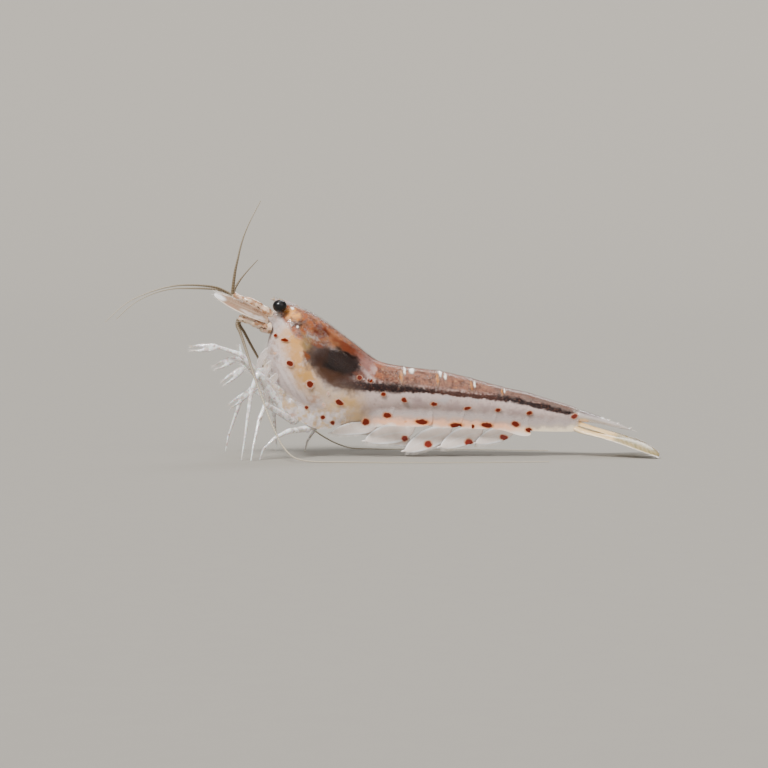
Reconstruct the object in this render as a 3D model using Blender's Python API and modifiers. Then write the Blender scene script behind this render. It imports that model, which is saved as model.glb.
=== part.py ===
"""Freshwater aquarium shrimp (Caridina multidentata), a still life-size model.

The animal faces -X, its left side is -Y and it stands on Z = 0.  Sizes below are millimetres in
the animal's own frame: X = 0 is the back edge of the carapace, Z = 0 the ground.  The last step
moves the whole animal so that the bottom centre of its box is the world origin.
"""
import math

import bpy
from mathutils import Vector

MM = 0.001
GAP = 0.12                # clear space between neighbouring pieces
THIN = 0.25               # half the thickness of the thinnest feeler, fin or leg
LEFT, RIGHT = -1, 1
SIDES = {"left": LEFT, "right": RIGHT}
UP, ACROSS = Vector((0, 0, 1)), Vector((0, 1, 0))

# Cross-sections of the carapace, head to back edge: (back x, back z, belly x, belly z, half width)
CARAPACE = (
    (-9.41, 16.54, -11.35, 13.95, 1.05),
    (-8.65, 16.27, -12.05, 11.68, 2.00),
    (-7.24, 15.73, -11.70, 8.90, 2.80),
    (-5.62, 14.76, -10.45, 6.60, 3.20),
    (-4.00, 13.57, -8.76, 5.05, 3.35),
    (-2.38, 12.32, -6.92, 3.95, 3.35),
    (-0.97, 11.19, -4.97, 3.30, 3.25),
    (0.00, 10.43, -3.35, 3.00, 3.10),
)
# The joints of the abdomen, from the carapace to the root of the tail fan, in the same form
ABDOMEN = (
    (0.16, 10.27, -3.10, 2.92, 3.05),
    (3.03, 9.73, 0.97, 3.30, 3.00),
    (6.81, 9.30, 5.08, 3.25, 2.85),
    (10.16, 8.49, 8.65, 3.10, 2.60),
    (13.41, 7.57, 12.11, 2.95, 2.30),
    (16.54, 6.81, 15.57, 2.76, 1.95),
    (21.73, 5.19, 21.41, 2.65, 1.20),
)
PLEURON_WALL = 0.55       # thickness of the side plates below the belly
BELLY = -0.55             # height of the belly between them, -1 is the plates' lower edge
LOBE = 0.13               # how far each side plate is rounded up at its two ends
KEEL = 0.16               # narrowing of the carapace towards the ridge of the back
CARAPACE_STEPS, CARAPACE_POINTS = 12, 20      # sections along it, points round each
BLADE_POINTS = 10         # points round a fin or scale

EYE_CENTRE = (-10.43, 1.50, 16.22)
EYE_RADII = (0.77, 0.72, 0.68)
EYESTALK_ROOT = (-10.05, 0.42, 15.92)
EYESTALK_RADII = (0.30, 0.36)
ROSTRUM_ROOT, ROSTRUM_TIP = (-9.68, 0.0, 16.47), (-11.62, 0.0, 17.05)
ROSTRUM_HALF_HEIGHTS = (0.30, 0.27, THIN)

# Feelers: route as (x, distance from the mid-plane, z), then half-thickness at root and tip
PEDUNCLE = ((-11.62, 0.55, 15.45), (-12.65, 0.62, 16.20), (-13.73, 0.66, 16.74), (-14.92, 0.70, 17.12),
            (-15.50, 0.72, 17.38))
PEDUNCLE_RADII = (0.42, 0.30)
ANTENNA_BASE = ((-12.15, 1.25, 13.95), (-13.19, 1.75, 14.45), (-14.70, 1.95, 14.90))
ANTENNA_BASE_RADII = (0.60, 0.36)
SCALE_SPINE = ((-12.15, 1.20, 14.98), (-13.19, 1.70, 15.55), (-14.81, 1.95, 16.25), (-16.43, 1.98, 17.05),
               (-17.62, 1.90, 17.68))
SCALE_HALF_WIDTHS = (0.40, 0.75, 0.85, 0.68, 0.28)

FEELERS = {
    "antennule_outer_left": ((-15.50, -0.95, 17.95), (-15.24, -1.15, 19.89), (-14.97, -1.30, 21.08),
                             (-14.49, -1.50, 23.03), (-13.73, -1.80, 24.97), (-12.43, -2.10, 27.46)),
    "antennule_outer_right": ((-15.45, 0.95, 17.95), (-14.95, 1.20, 18.85), (-14.27, 1.50, 19.75),
                              (-12.97, 1.90, 21.20)),
    "antennule_inner_left": ((-16.15, -0.60, 17.70), (-17.51, -0.90, 18.27), (-20.22, -1.60, 18.49),
                             (-22.38, -2.20, 18.27), (-24.54, -2.80, 17.62), (-26.70, -3.40, 16.54),
                             (-28.86, -4.00, 14.59)),
    "antennule_inner_right": ((-16.15, 0.60, 17.62), (-17.51, 0.90, 18.02), (-20.22, 1.60, 18.12),
                              (-22.38, 2.30, 18.05), (-24.54, 3.00, 17.50), (-26.70, 3.70, 16.40),
                              (-28.60, 4.20, 14.75)),
    "antenna_flagellum_left": ((-14.98, -2.15, 14.20), (-14.60, -2.80, 13.40), (-14.05, -3.60, 11.90),
                               (-13.08, -5.00, 9.08), (-12.11, -6.30, 6.59), (-10.90, -7.60, 3.60),
                               (-9.50, -8.60, 1.20), (-7.60, -9.40, 0.25), (-3.00, -10.30, 0.25),
                               (4.00, -10.90, 0.25), (11.00, -10.60, 0.25), (18.00, -9.60, 0.25)),
    "antenna_flagellum_right": ((-14.98, 2.15, 14.20), (-14.50, 2.90, 13.30), (-13.60, 3.90, 11.50),
                                (-11.90, 5.40, 8.40), (-9.60, 6.90, 5.00), (-6.80, 8.10, 2.10),
                                (-3.60, 8.80, 0.45), (-0.50, 9.10, 0.25), (5.00, 8.90, 0.25),
                                (12.00, 8.00, 0.25), (19.00, 6.80, 0.25)),
}
# A feeler's points are joined by a smooth curve, with this many steps between two of them
FEELER_STEPS = 2

# Legs: place of the hip (cross-section of the carapace, angle round it from the back), the route
# after the hip, and the half-thickness at hip and end.  Walking legs end upright on flat feet.
LEGS = {
    "maxilliped_left": (1.95, 163, ((-13.50, -1.05, 9.35), (-14.45, -0.95, 10.40), (-14.75, -0.75, 12.00)),
                        (0.34, THIN)),
    "maxilliped_right": (1.95, 163, ((-13.40, 1.05, 9.10), (-14.60, 0.95, 9.90), (-15.20, 0.75, 11.40)),
                         (0.34, THIN)),
    "pereiopod_1_left": (2.50, 152, ((-12.55, -2.20, 8.35), (-14.05, -2.30, 10.10), (-15.03, -2.25, 10.68)),
                         (0.36, THIN)),
    "pereiopod_1_right": (2.50, 152, ((-12.40, 2.10, 8.10), (-13.73, 2.30, 9.60), (-14.49, 2.20, 9.45)),
                          (0.36, THIN)),
    "pereiopod_2_left": (3.00, 148, ((-12.10, -3.10, 8.30), (-14.49, -3.30, 11.10), (-16.86, -3.10, 11.89)),
                         (0.36, THIN)),
    "pereiopod_2_right": (3.00, 148, ((-11.90, 3.10, 7.30), (-13.08, 3.60, 8.30), (-13.84, 3.50, 6.90)),
                          (0.36, THIN)),
    "pereiopod_3_left": (3.65, 146, ((-9.90, -2.75, 5.00), (-12.65, -4.20, 9.10), (-13.35, -4.80, 7.10),
                                     (-14.15, -6.30, 1.30), (-14.30, -6.50, 0.55), (-14.30, -6.50, 0.0)),
                         (0.38, THIN)),
    "pereiopod_3_right": (3.65, 146, ((-9.90, 2.75, 5.00), (-13.73, 4.60, 7.10), (-15.03, 5.30, 5.84),
                                      (-16.60, 6.60, 1.40), (-16.80, 6.75, 0.55), (-16.80, 6.75, 0.0)),
                          (0.38, THIN)),
    "pereiopod_4_left": (4.25, 146, ((-8.90, -3.00, 3.90), (-11.78, -5.10, 5.84), (-12.43, -5.80, 4.32),
                                     (-13.05, -7.30, 1.20), (-13.20, -7.50, 0.55), (-13.20, -7.50, 0.0)),
                         (0.38, THIN)),
    "pereiopod_4_right": (4.25, 146, ((-8.90, 3.00, 3.90), (-10.92, 5.30, 5.62), (-11.46, 6.20, 4.11),
                                      (-11.25, 7.90, 1.20), (-11.25, 8.10, 0.55), (-11.25, 8.10, 0.0)),
                          (0.38, THIN)),
    "pereiopod_5_left": (4.90, 146, ((-7.40, -2.90, 3.10), (-9.40, -4.30, 2.95), (-10.80, -4.90, 2.30),
                                     (-12.20, -5.45, 0.95), (-12.35, -5.50, 0.50), (-12.35, -5.50, 0.0)),
                         (0.38, THIN)),
    "pereiopod_5_right": (4.90, 146, ((-7.10, 2.95, 3.00), (-6.40, 4.60, 3.60), (-6.90, 5.40, 2.50),
                                      (-7.85, 6.50, 1.00), (-8.00, 6.60, 0.50), (-8.00, 6.60, 0.0)),
                          (0.38, THIN)),
}
KNEE = 0.45               # length taken off each side of a knee to round it
# Small claws: node of the leg, tip of the claw
CLAWS = {
    "claw_1_left": ("pereiopod_1_left", (-17.41, -2.00, 9.62)),
    "claw_1_right": ("pereiopod_1_right", (-16.76, 1.90, 7.78)),
    "claw_2_left": ("pereiopod_2_left", (-19.89, -2.80, 11.68)),
    "claw_2_right": ("pereiopod_2_right", (-16.11, 3.10, 5.19)),
}
CLAW_HEIGHT, CLAW_THICKNESS = 0.62, 0.36      # half sizes of the palm

# Swimming legs, one pair for each of the first five rings.  A leaf runs forward from its bend:
# bend x, bend z, tip x, tip z, half height of the leaf
PLEOPODS = (
    (-0.30, 3.05, -5.10, 2.62, 0.62),
    (3.60, 2.60, -1.50, 1.78, 0.85),
    (7.60, 2.50, 2.75, 0.62, 0.92),
    (11.00, 2.45, 6.60, 1.05, 0.86),
    (14.50, 2.45, 10.40, 1.45, 0.70),
)
PLEOPOD_ROOT_OUT, PLEOPOD_TIP_OUT = 0.34, 0.66        # share of the ring's half width
PLEOPOD_HIP = 0.60        # the hip is this far behind the bend, just under the belly
PLEOPOD_LEAF = ((0, 0.72), (0.25, 1.0), (0.55, 0.95), (0.85, 0.5), (1, 0.3))    # place, share of height

TELSON_SPINE = ((21.98, 0.0, 4.42), (24.43, 0.0, 3.78), (26.27, 0.0, 3.22), (27.78, 0.0, 2.74))
TELSON_HALF_WIDTHS = (0.95, 0.80, 0.55, 0.30)
TELSON_HALF_DEPTHS = (0.62, 0.40, 0.28, THIN)
FAN = {
    "uropod_inner": (((22.10, 0.45, 3.22), (23.60, 0.80, 2.80), (25.60, 1.15, 2.10), (27.60, 1.42, 1.15),
                      (29.20, 1.58, 0.42), (29.60, 1.60, THIN), (29.85, 1.61, THIN), (30.10, 1.62, THIN)),
                     (0.30, 0.62, 0.92, 0.95, 0.70, 0.58, 0.45, 0.20)),
    "uropod_outer": (((21.90, 1.30, 2.55), (23.40, 1.85, 2.30), (25.60, 2.75, 1.75), (27.80, 3.45, 1.00),
                      (29.40, 3.85, 0.42), (29.85, 3.96, 0.27), (30.12, 4.01, THIN), (30.40, 4.05, THIN)),
                     (0.28, 0.52, 0.88, 1.00, 0.78, 0.62, 0.46, 0.20)),
}

FAN_FLATNESS = 1.7

SHELL = (0.62, 0.50, 0.43)
CLEAR = (0.80, 0.76, 0.72)
PALE = (0.90, 0.84, 0.76)
OLIVE = (0.45, 0.38, 0.27)
BLACK = (0.010, 0.009, 0.009)


def clear_scene():
    for old in list(bpy.data.objects):
        bpy.data.objects.remove(old, do_unlink=True)


def new_collection(name):
    group = bpy.data.collections.new(name)
    bpy.context.scene.collection.children.link(group)
    return group


def finish(name, colour, roughness):
    """A Principled material of the sub-part's own."""
    material = bpy.data.materials.new(name)
    material.use_nodes = True
    shader = material.node_tree.nodes["Principled BSDF"]
    shader.inputs["Base Color"].default_value = (*colour, 1.0)
    shader.inputs["Roughness"].default_value = roughness
    shader.inputs["Metallic"].default_value = 0.0
    return material


def add_object(group, name, data, colour, roughness=0.35):
    data.materials.append(finish(name, colour, roughness))
    piece = bpy.data.objects.new(name, data)
    group.objects.link(piece)
    return piece


def glide(rows, place):
    """The row of numbers at a fractional place along rows, on a smooth curve through them all."""
    last = len(rows) - 1
    step = min(int(place), last - 1)
    share = place - step
    before, here = rows[max(step - 1, 0)], rows[step]
    there, after = rows[step + 1], rows[min(step + 2, last)]
    return tuple(
        0.5 * (2 * b + (c - a) * share + (2 * a - 5 * b + 4 * c - d) * share ** 2
               + (3 * b - a - 3 * c + d) * share ** 3)
        for a, b, c, d in zip(before, here, there, after))


def section(rows, place):
    """Centre, half-depth arrow towards the back and half width of a body section."""
    back_x, back_z, belly_x, belly_z, half = glide(rows, place)
    back, belly = Vector((back_x, 0, back_z)), Vector((belly_x, 0, belly_z))
    return (back + belly) / 2, (back - belly) / 2, half


def carapace_point(place, angle, proud=0.0):
    """A point of the carapace: angle 0 is the back, 90 the left flank; proud lifts it off."""
    centre, up, half = section(CARAPACE, place)
    turn = math.radians(angle)
    narrow = 1 - KEEL * max(math.cos(turn), 0) ** 2
    reach = up * math.cos(turn) + Vector((0, -half * math.sin(turn) * narrow, 0))
    return centre + reach * (1 + proud / reach.length)


def mirrored(route, side):
    return [Vector((x, out * side, z)) for x, out, z in route]


def loft(group, name, rings, colour, roughness=0.35):
    """A closed solid through rings of equal point counts, with a flat cap on each end."""
    count = len(rings[0])
    first = rings[0]
    facing = sum((first[i].cross(first[(i + 1) % count]) for i in range(count)), Vector())
    if facing.dot(rings[1][0] - first[0] + rings[1][count // 2] - first[count // 2]) < 0:
        rings = [ring[::-1] for ring in rings]
    verts = [point * MM for ring in rings for point in ring]
    faces = [tuple(range(count))[::-1]]
    for ring in range(len(rings) - 1):
        low, high = ring * count, (ring + 1) * count
        for i in range(count):
            j = (i + 1) % count
            faces.append((low + i, low + j, high + j, high + i))
    faces.append(tuple(range((len(rings) - 1) * count, len(rings) * count)))
    mesh = bpy.data.meshes.new(name)
    mesh.from_pydata(verts, [], faces)
    mesh.shade_smooth()
    mesh.set_sharp_from_angle(angle=math.radians(40))
    return add_object(group, name, mesh, colour, roughness)


def blade(group, name, spine, half_widths, half_depths, across, colour, flat=1.0):
    """A flattened solid along a spine, broad in the direction across; flat over 1 levels its faces."""
    rings = []
    for i, point in enumerate(spine):
        point = Vector(point)
        ahead = Vector(spine[min(i + 1, len(spine) - 1)]) - Vector(spine[max(i - 1, 0)])
        side = (across - ahead * (across.dot(ahead) / ahead.length_squared)).normalized()
        lift = side.cross(ahead.normalized())
        ring = []
        for k in range(BLADE_POINTS):
            turn = 2 * math.pi * (k + 0.5) / BLADE_POINTS
            tall = math.sin(turn)
            tall = math.copysign(min(abs(tall) * flat, 1), tall)
            ring.append(point + side * half_widths[i] * math.cos(turn) + lift * half_depths[i] * tall)
        rings.append(ring)
    return loft(group, name, rings, colour)


def rounded(route, cut):
    """The route with each inner corner turned into a short bend."""
    points = [Vector(route[0])]
    for before, corner, after in zip(route, route[1:], route[2:]):
        before, corner, after = Vector(before), Vector(corner), Vector(after)
        back, on = before - corner, after - corner
        start = corner + back * min(cut / back.length, 0.4)
        end = corner + on * min(cut / on.length, 0.4)
        points += [start, (start + corner * 2 + end) / 4, end]
    return points + [Vector(route[-1])]


def tube(group, name, points, radii, colour):
    """A round limb through the points, tapering evenly from the first radius to the second."""
    curve = bpy.data.curves.new(name, "CURVE")
    curve.dimensions = "3D"
    curve.bevel_depth = radii[0] * MM
    curve.bevel_resolution = 2
    curve.use_fill_caps = True
    spline = curve.splines.new("POLY")
    spline.points.add(len(points) - 1)
    spline.use_smooth = True
    for i, point in enumerate(points):
        share = i / (len(points) - 1)
        spline.points[i].co = (*(Vector(point) * MM), 1)
        spline.points[i].radius = 1 + (radii[1] / radii[0] - 1) * share
    return add_object(group, name, curve, colour)


def build_carapace(group):
    rings = []
    for step in range(CARAPACE_STEPS + 1):
        place = step * (len(CARAPACE) - 1) / CARAPACE_STEPS
        rings.append([carapace_point(place, 360 * k / CARAPACE_POINTS) for k in range(CARAPACE_POINTS)])
    loft(group, "carapace", rings, SHELL)


def hoop(place, lobe):
    """One section of the abdomen: a round back, flat flanks and side plates below the belly."""
    centre, up, half = section(ABDOMEN, place)
    wall = PLEURON_WALL / half
    low = -1 + lobe
    side = [(math.sin(math.radians(a)), math.cos(math.radians(a))) for a in range(15, 91, 15)]
    side += [(0.99, 0.5 * low), (0.93, low), (0.93 - wall, low), (0.97 - wall, BELLY)]
    outline = [(0, 1)] + side + [(0, BELLY)] + [(-x, z) for x, z in reversed(side)]
    return [centre + up * z + Vector((0, -half * x, 0)) for x, z in outline]


def build_abdomen(group):
    """The six rings, each with plates rounded at their ends."""
    inset = GAP / 5
    for ring in range(6):
        shares = (inset, 0.25, 0.5, 0.75, 1 - inset)
        lobes = [LOBE * (2 * share - 1) ** 2 for share in shares]
        hoops = [hoop(ring + share, lobe) for share, lobe in zip(shares, lobes)]
        loft(group, f"abdomen_{ring + 1}", hoops, SHELL)


def build_eyes(group):
    for word, side in SIDES.items():
        centre = mirrored([EYE_CENTRE], side)[0]
        bpy.ops.mesh.primitive_uv_sphere_add(segments=16, ring_count=10, radius=MM, location=centre * MM)
        eye = bpy.context.object
        eye.name = eye.data.name = f"eye_{word}"
        eye.scale = EYE_RADII
        for owner in eye.users_collection:
            owner.objects.unlink(eye)
        group.objects.link(eye)
        eye.data.shade_smooth()
        eye.data.materials.append(finish(eye.name, BLACK, 0.1))
        root = mirrored([EYESTALK_ROOT], side)[0]
        arrow = (centre - root).normalized()
        reach = (centre - root).length - EYE_RADII[0] - GAP
        tube(group, f"eyestalk_{word}", [root, root + arrow * reach * 0.5, root + arrow * reach],
             EYESTALK_RADII, SHELL)


def build_rostrum(group):
    root, tip = Vector(ROSTRUM_ROOT), Vector(ROSTRUM_TIP)
    spine = [root.lerp(tip, share) for share in (0, 0.5, 1)]
    blade(group, "rostrum", spine, ROSTRUM_HALF_HEIGHTS, (THIN,) * len(spine), UP, SHELL)


def build_feelers(group):
    for word, side in SIDES.items():
        tube(group, f"antennule_peduncle_{word}", mirrored(PEDUNCLE, side), PEDUNCLE_RADII, CLEAR)
        tube(group, f"antenna_peduncle_{word}", mirrored(ANTENNA_BASE, side), ANTENNA_BASE_RADII, CLEAR)
        blade(group, f"antenna_scale_{word}", mirrored(SCALE_SPINE, side), SCALE_HALF_WIDTHS,
              (THIN,) * len(SCALE_SPINE), ACROSS, PALE)
    for name, route in FEELERS.items():
        steps = FEELER_STEPS * (len(route) - 1)
        points = [Vector(glide(route, i / FEELER_STEPS)) for i in range(steps + 1)]
        for point in points:
            point.z = max(point.z, THIN)
        tube(group, name, points, (THIN, THIN), OLIVE)


def build_legs(group):
    for name, (place, angle, route, radii) in LEGS.items():
        turn = angle if name.endswith("left") else -angle
        hip = carapace_point(place, turn, GAP)
        socket = carapace_point(place, turn, 2 * radii[0] + GAP)
        tube(group, name, rounded([hip, socket, *route], KNEE), radii, CLEAR)


def build_claws(group):
    """Palm and two fingers, from a coarse cage that a subdivision surface rounds."""
    for name, (leg, tip) in CLAWS.items():
        wrist, tip = Vector(LEGS[leg][2][-1]), Vector(tip)
        along = tip - wrist
        start, along = wrist + along * (GAP / along.length), along * (1 - GAP / along.length)
        high = (Vector((0, 0, 1)) - along * (along.z / along.length_squared)).normalized() * CLAW_HEIGHT
        wide = along.cross(high).normalized() * CLAW_THICKNESS
        # share of the length, then the heights of the rows of points across the palm
        rows = ((0.0, (0.55, -0.55)), (0.3, (1.0, -1.0)), (0.52, (1.0, 0.0, -1.0)))
        verts = [start + along * share + high * tall + wide * flat
                 for share, heights in rows for tall in heights for flat in (1, -1)]
        verts += [start + along + high * tall + wide * flat * 0.7
                  for tall in (0.75, 0.22, -0.22, -0.75) for flat in (1, -1)]
        faces = [(0, 1, 3, 2), (0, 4, 5, 1), (2, 3, 7, 6), (4, 8, 9, 5), (6, 7, 13, 12),
                 (0, 2, 6, 4), (1, 5, 7, 3), (4, 6, 12, 10, 8), (5, 9, 11, 13, 7),
                 (8, 14, 15, 9), (10, 11, 17, 16), (8, 10, 16, 14), (9, 15, 17, 11), (14, 16, 17, 15),
                 (10, 18, 19, 11), (12, 13, 21, 20), (10, 12, 20, 18), (11, 19, 21, 13), (18, 20, 21, 19)]
        mesh = bpy.data.meshes.new(name)
        mesh.from_pydata([v * MM for v in verts], [], faces)
        mesh.shade_smooth()
        claw = add_object(group, name, mesh, PALE)
        rounder = claw.modifiers.new("round", "SUBSURF")
        rounder.levels = rounder.render_levels = 1


def build_pleopods(group):
    """Leaf-shaped swimmers swept forward under the belly, each passing outside the one ahead."""
    for number, (bend_x, bend_z, tip_x, tip_z, tall) in enumerate(PLEOPODS, start=1):
        centre, up, half = section(ABDOMEN, number - 0.5)
        belly_z = (centre + up * BELLY).z
        for word, side in SIDES.items():
            hip = Vector((bend_x + PLEOPOD_HIP, half * PLEOPOD_ROOT_OUT * side, belly_z - THIN - GAP))
            bend = Vector((bend_x, half * PLEOPOD_ROOT_OUT * side, bend_z))
            tip = Vector((tip_x, half * PLEOPOD_TIP_OUT * side, tip_z))
            spine = [hip] + [bend.lerp(tip, place) for place, _ in PLEOPOD_LEAF]
            talls = [THIN] + [tall * share for _, share in PLEOPOD_LEAF]
            blade(group, f"pleopod_{number}_{word}", spine, talls, (THIN,) * len(spine),
                  UP, CLEAR)


def build_tail(group):
    blade(group, "telson", TELSON_SPINE, TELSON_HALF_WIDTHS, TELSON_HALF_DEPTHS, ACROSS, SHELL)
    for node, (spine, halves) in FAN.items():
        for word, side in SIDES.items():
            blade(group, f"{node}_{word}", mirrored(spine, side), halves, (THIN,) * len(spine), ACROSS,
                  PALE, flat=FAN_FLATNESS)


def stand_on_origin(group):
    """Move every piece so that the bottom centre of the animal's box is the world origin."""
    bpy.context.view_layer.update()
    graph = bpy.context.evaluated_depsgraph_get()
    corners = []
    for piece in group.objects:
        shape = piece.evaluated_get(graph)
        mesh = shape.to_mesh()
        corners += [shape.matrix_world @ vertex.co for vertex in mesh.vertices]
        shape.to_mesh_clear()
    low = [min(corner[axis] for corner in corners) for axis in range(3)]
    high = [max(corner[axis] for corner in corners) for axis in range(3)]
    shift = Vector(((low[0] + high[0]) / 2, (low[1] + high[1]) / 2, low[2]))
    for piece in group.objects:
        piece.location -= shift
    bpy.context.view_layer.update()


def main():
    clear_scene()
    group = new_collection("aquarium_shrimp")
    build_carapace(group)
    build_rostrum(group)
    build_eyes(group)
    build_feelers(group)
    build_legs(group)
    build_claws(group)
    build_abdomen(group)
    build_pleopods(group)
    build_tail(group)
    stand_on_origin(group)


main()
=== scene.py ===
"""Freshwater aquarium shrimp, Caridina multidentata: a still life-size model in a small studio.

The head faces -X, the left side is -Y and the ground is Z = 0.  Every piece is modelled in
millimetres in the animal's own frame, whose X = 0 is the back edge of the carapace, and is then
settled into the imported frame, in metres.
"""
import logging
import math
import random
from dataclasses import dataclass, field
from enum import Enum
from functools import partial
from typing import Callable, Iterable, Sequence

import bpy
from mathutils import Matrix, Vector, kdtree


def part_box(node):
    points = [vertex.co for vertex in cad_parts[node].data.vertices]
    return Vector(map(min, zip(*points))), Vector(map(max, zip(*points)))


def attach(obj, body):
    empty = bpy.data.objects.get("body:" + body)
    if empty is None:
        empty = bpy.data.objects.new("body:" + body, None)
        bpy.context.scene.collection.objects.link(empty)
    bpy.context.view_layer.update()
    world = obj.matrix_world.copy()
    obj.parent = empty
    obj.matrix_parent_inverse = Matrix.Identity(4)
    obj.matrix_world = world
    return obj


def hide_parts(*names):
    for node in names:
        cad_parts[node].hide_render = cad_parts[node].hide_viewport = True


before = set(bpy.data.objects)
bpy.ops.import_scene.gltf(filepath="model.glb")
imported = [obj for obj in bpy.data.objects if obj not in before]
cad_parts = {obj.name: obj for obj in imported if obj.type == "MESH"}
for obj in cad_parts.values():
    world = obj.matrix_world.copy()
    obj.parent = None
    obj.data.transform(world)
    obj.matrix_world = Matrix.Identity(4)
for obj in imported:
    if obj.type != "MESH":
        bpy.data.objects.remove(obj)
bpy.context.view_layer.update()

log = logging.getLogger("shrimp")

Piece, Material = bpy.types.Object, bpy.types.Material
Tree, Node, Socket = bpy.types.NodeTree, bpy.types.Node, bpy.types.NodeSocket

MM = 0.001
UP, ACROSS = Vector((0.0, 0.0, 1.0)), Vector((0.0, 1.0, 0.0))

# Cross-sections of the body: (back x, back z, belly x, belly z, half width), as in the solids
CARAPACE = (
    (-9.41, 16.54, -11.35, 13.95, 1.05),
    (-8.65, 16.27, -12.05, 11.68, 2.0),
    (-7.24, 15.73, -11.7, 8.9, 2.8),
    (-5.62, 14.76, -10.45, 6.6, 3.2),
    (-4.0, 13.57, -8.76, 5.05, 3.35),
    (-2.38, 12.32, -6.92, 3.95, 3.35),
    (-0.97, 11.19, -4.97, 3.3, 3.25),
    (0.0, 10.43, -3.35, 3.0, 3.1),
)
ABDOMEN = (
    (0.16, 10.27, -3.1, 2.92, 3.05),
    (3.03, 9.73, 0.97, 3.3, 3.0),
    (6.81, 9.3, 5.08, 3.25, 2.85),
    (10.16, 8.49, 8.65, 3.1, 2.6),
    (13.41, 7.57, 12.11, 2.95, 2.3),
    (16.54, 6.81, 15.57, 2.76, 1.95),
    (21.73, 5.19, 21.41, 2.65, 1.2),
)
EYE = (-10.43, 1.5, 16.22)
# Lower limit of the dark back, as (x, z): over the liver and then along the top of the gut
BAND_FLOOR = ((-11.0, 16.1), (-9.6, 14.2), (-8.0, 12.6), (-5.0, 11.9), (-2.4, 10.7), (-1.2, 9.4), (0.3, 8.2),
              (5.0, 7.55), (9.9, 6.95), (14.8, 6.3), (19.6, 5.1), (22.0, 4.5))


class Side(Enum):
    """The two sides of the animal, by the sign of Y."""

    LEFT = -1
    RIGHT = 1

    @property
    def word(self) -> str:
        """The side's name in the nodes."""
        return self.name.lower()


class Slot(Enum):
    """The finishes that the record names."""

    SHELL = "shell"
    LIMB = "limb"
    FIN = "fin"
    FEELER = "feeler"
    EYE = "eye"


# ---------------------------------------- shapes in numbers


def glide(rows: Sequence[Sequence[float]], place: float) -> tuple[float, ...]:
    """Read a smooth curve through rows of numbers.

    Args:
        rows: The rows that the curve passes through.
        place: Where to read it; 1.5 is half way from the second row to the third.

    Returns:
        One number for each column.
    """
    last = len(rows) - 1
    step = max(0, min(int(place), last - 1))
    share = place - step
    before, here = rows[max(step - 1, 0)], rows[step]
    there, after = rows[step + 1], rows[min(step + 2, last)]
    return tuple(
        0.5 * (2 * b + (c - a) * share + (2 * a - 5 * b + 4 * c - d) * share ** 2
               + (3 * b - a - 3 * c + d) * share ** 3)
        for a, b, c, d in zip(before, here, there, after))


def smooth(value: float, low: float, high: float) -> float:
    """An even ramp from 0 at low to 1 at high, with soft ends."""
    share = min(max((value - low) / (high - low), 0.0), 1.0)
    return share * share * (3 - 2 * share)


def fine_route(route: Sequence[Sequence[float]], steps: int) -> list[Vector]:
    """A smooth route with some steps between each two of its points."""
    count = steps * (len(route) - 1)
    return [Vector(glide(route, i / steps)) for i in range(count + 1)]


def on_side(route: Iterable[Sequence[float]], side: Side) -> list[Vector]:
    """A route given as (x, distance from the mid-plane, z), put on one side of the animal."""
    return [Vector((x, out * side.value, z)) for x, out, z in route]


def bent(route: Sequence[Sequence[float]], cut: float) -> list[Vector]:
    """A route whose inner corners are turned into short bends.

    Args:
        route: The corners.
        cut: Length taken off each side of a corner.

    Returns:
        The new points.
    """
    points = [Vector(route[0])]
    for before, corner, after in zip(route, route[1:], route[2:]):
        before, corner, after = Vector(before), Vector(corner), Vector(after)
        back, on = before - corner, after - corner
        start = corner + back * min(cut / back.length, 0.4)
        end = corner + on * min(cut / on.length, 0.4)
        points += [start, (start + corner * 2 + end) / 4, end]
    return points + [Vector(route[-1])]


@dataclass(frozen=True)
class Ring:
    """One cross-section: its centre, its two unit axes and the half sizes along them."""

    centre: Vector
    side: Vector
    up: Vector
    half_width: float
    half_height: float

    @property
    def turn(self) -> Matrix:
        """The rotation that turns X, Y and Z into the ring's side, up and normal."""
        return Matrix((self.side, self.up, self.side.cross(self.up))).transposed()


def section(rows: Sequence[Sequence[float]], place: float) -> Ring:
    """A cross-section of the body at a place along one of its tables.

    Args:
        rows: A table of cross-sections.
        place: Where along it; 1.5 is half way from the second row to the third.

    Returns:
        The cross-section there.
    """
    back_x, back_z, belly_x, belly_z, half = glide(rows, place)
    back, belly = Vector((back_x, 0, back_z)), Vector((belly_x, 0, belly_z))
    rise = (back - belly) / 2
    return Ring((back + belly) / 2, -ACROSS, rise.normalized(), half, rise.length)


def spine_rings(spine: Sequence[Vector], wide: Sequence[float], deep: Sequence[float],
                across: Vector) -> list[Ring]:
    """Cross-sections along a spine.

    Args:
        spine: Centres of the sections.
        wide: Half sizes in the direction across.
        deep: Half sizes square to it.
        across: The direction that the piece is broad in.

    Returns:
        A ring at each point of the spine.
    """
    rings = []
    for i, point in enumerate(spine):
        ahead = (spine[min(i + 1, len(spine) - 1)] - spine[max(i - 1, 0)]).normalized()
        side = (across - ahead * across.dot(ahead)).normalized()
        rings.append(Ring(point, side, ahead.cross(side), wide[i], deep[i]))
    return rings


# ---------------------------------------- finishes


def linear(code: str) -> tuple[float, float, float, float]:
    """Turn an sRGB hex colour into linear light."""
    channels = [int(code[i:i + 2], 16) / 255 for i in (1, 3, 5)]
    return (*[c / 12.92 if c <= 0.04045 else ((c + 0.055) / 1.055) ** 2.4 for c in channels], 1.0)


def feed(tree: Tree, node: Node, inputs: dict[int | str, object]) -> None:
    """Set or link the inputs of a node.

    Args:
        tree: The material's nodes.
        node: The node.
        inputs: Numbers, hex colours or sockets, by the name or number of the input.
    """
    for key, value in inputs.items():
        if isinstance(value, Socket):
            tree.links.new(value, node.inputs[key])
        else:
            node.inputs[key].default_value = linear(value) if isinstance(value, str) else value


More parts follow.
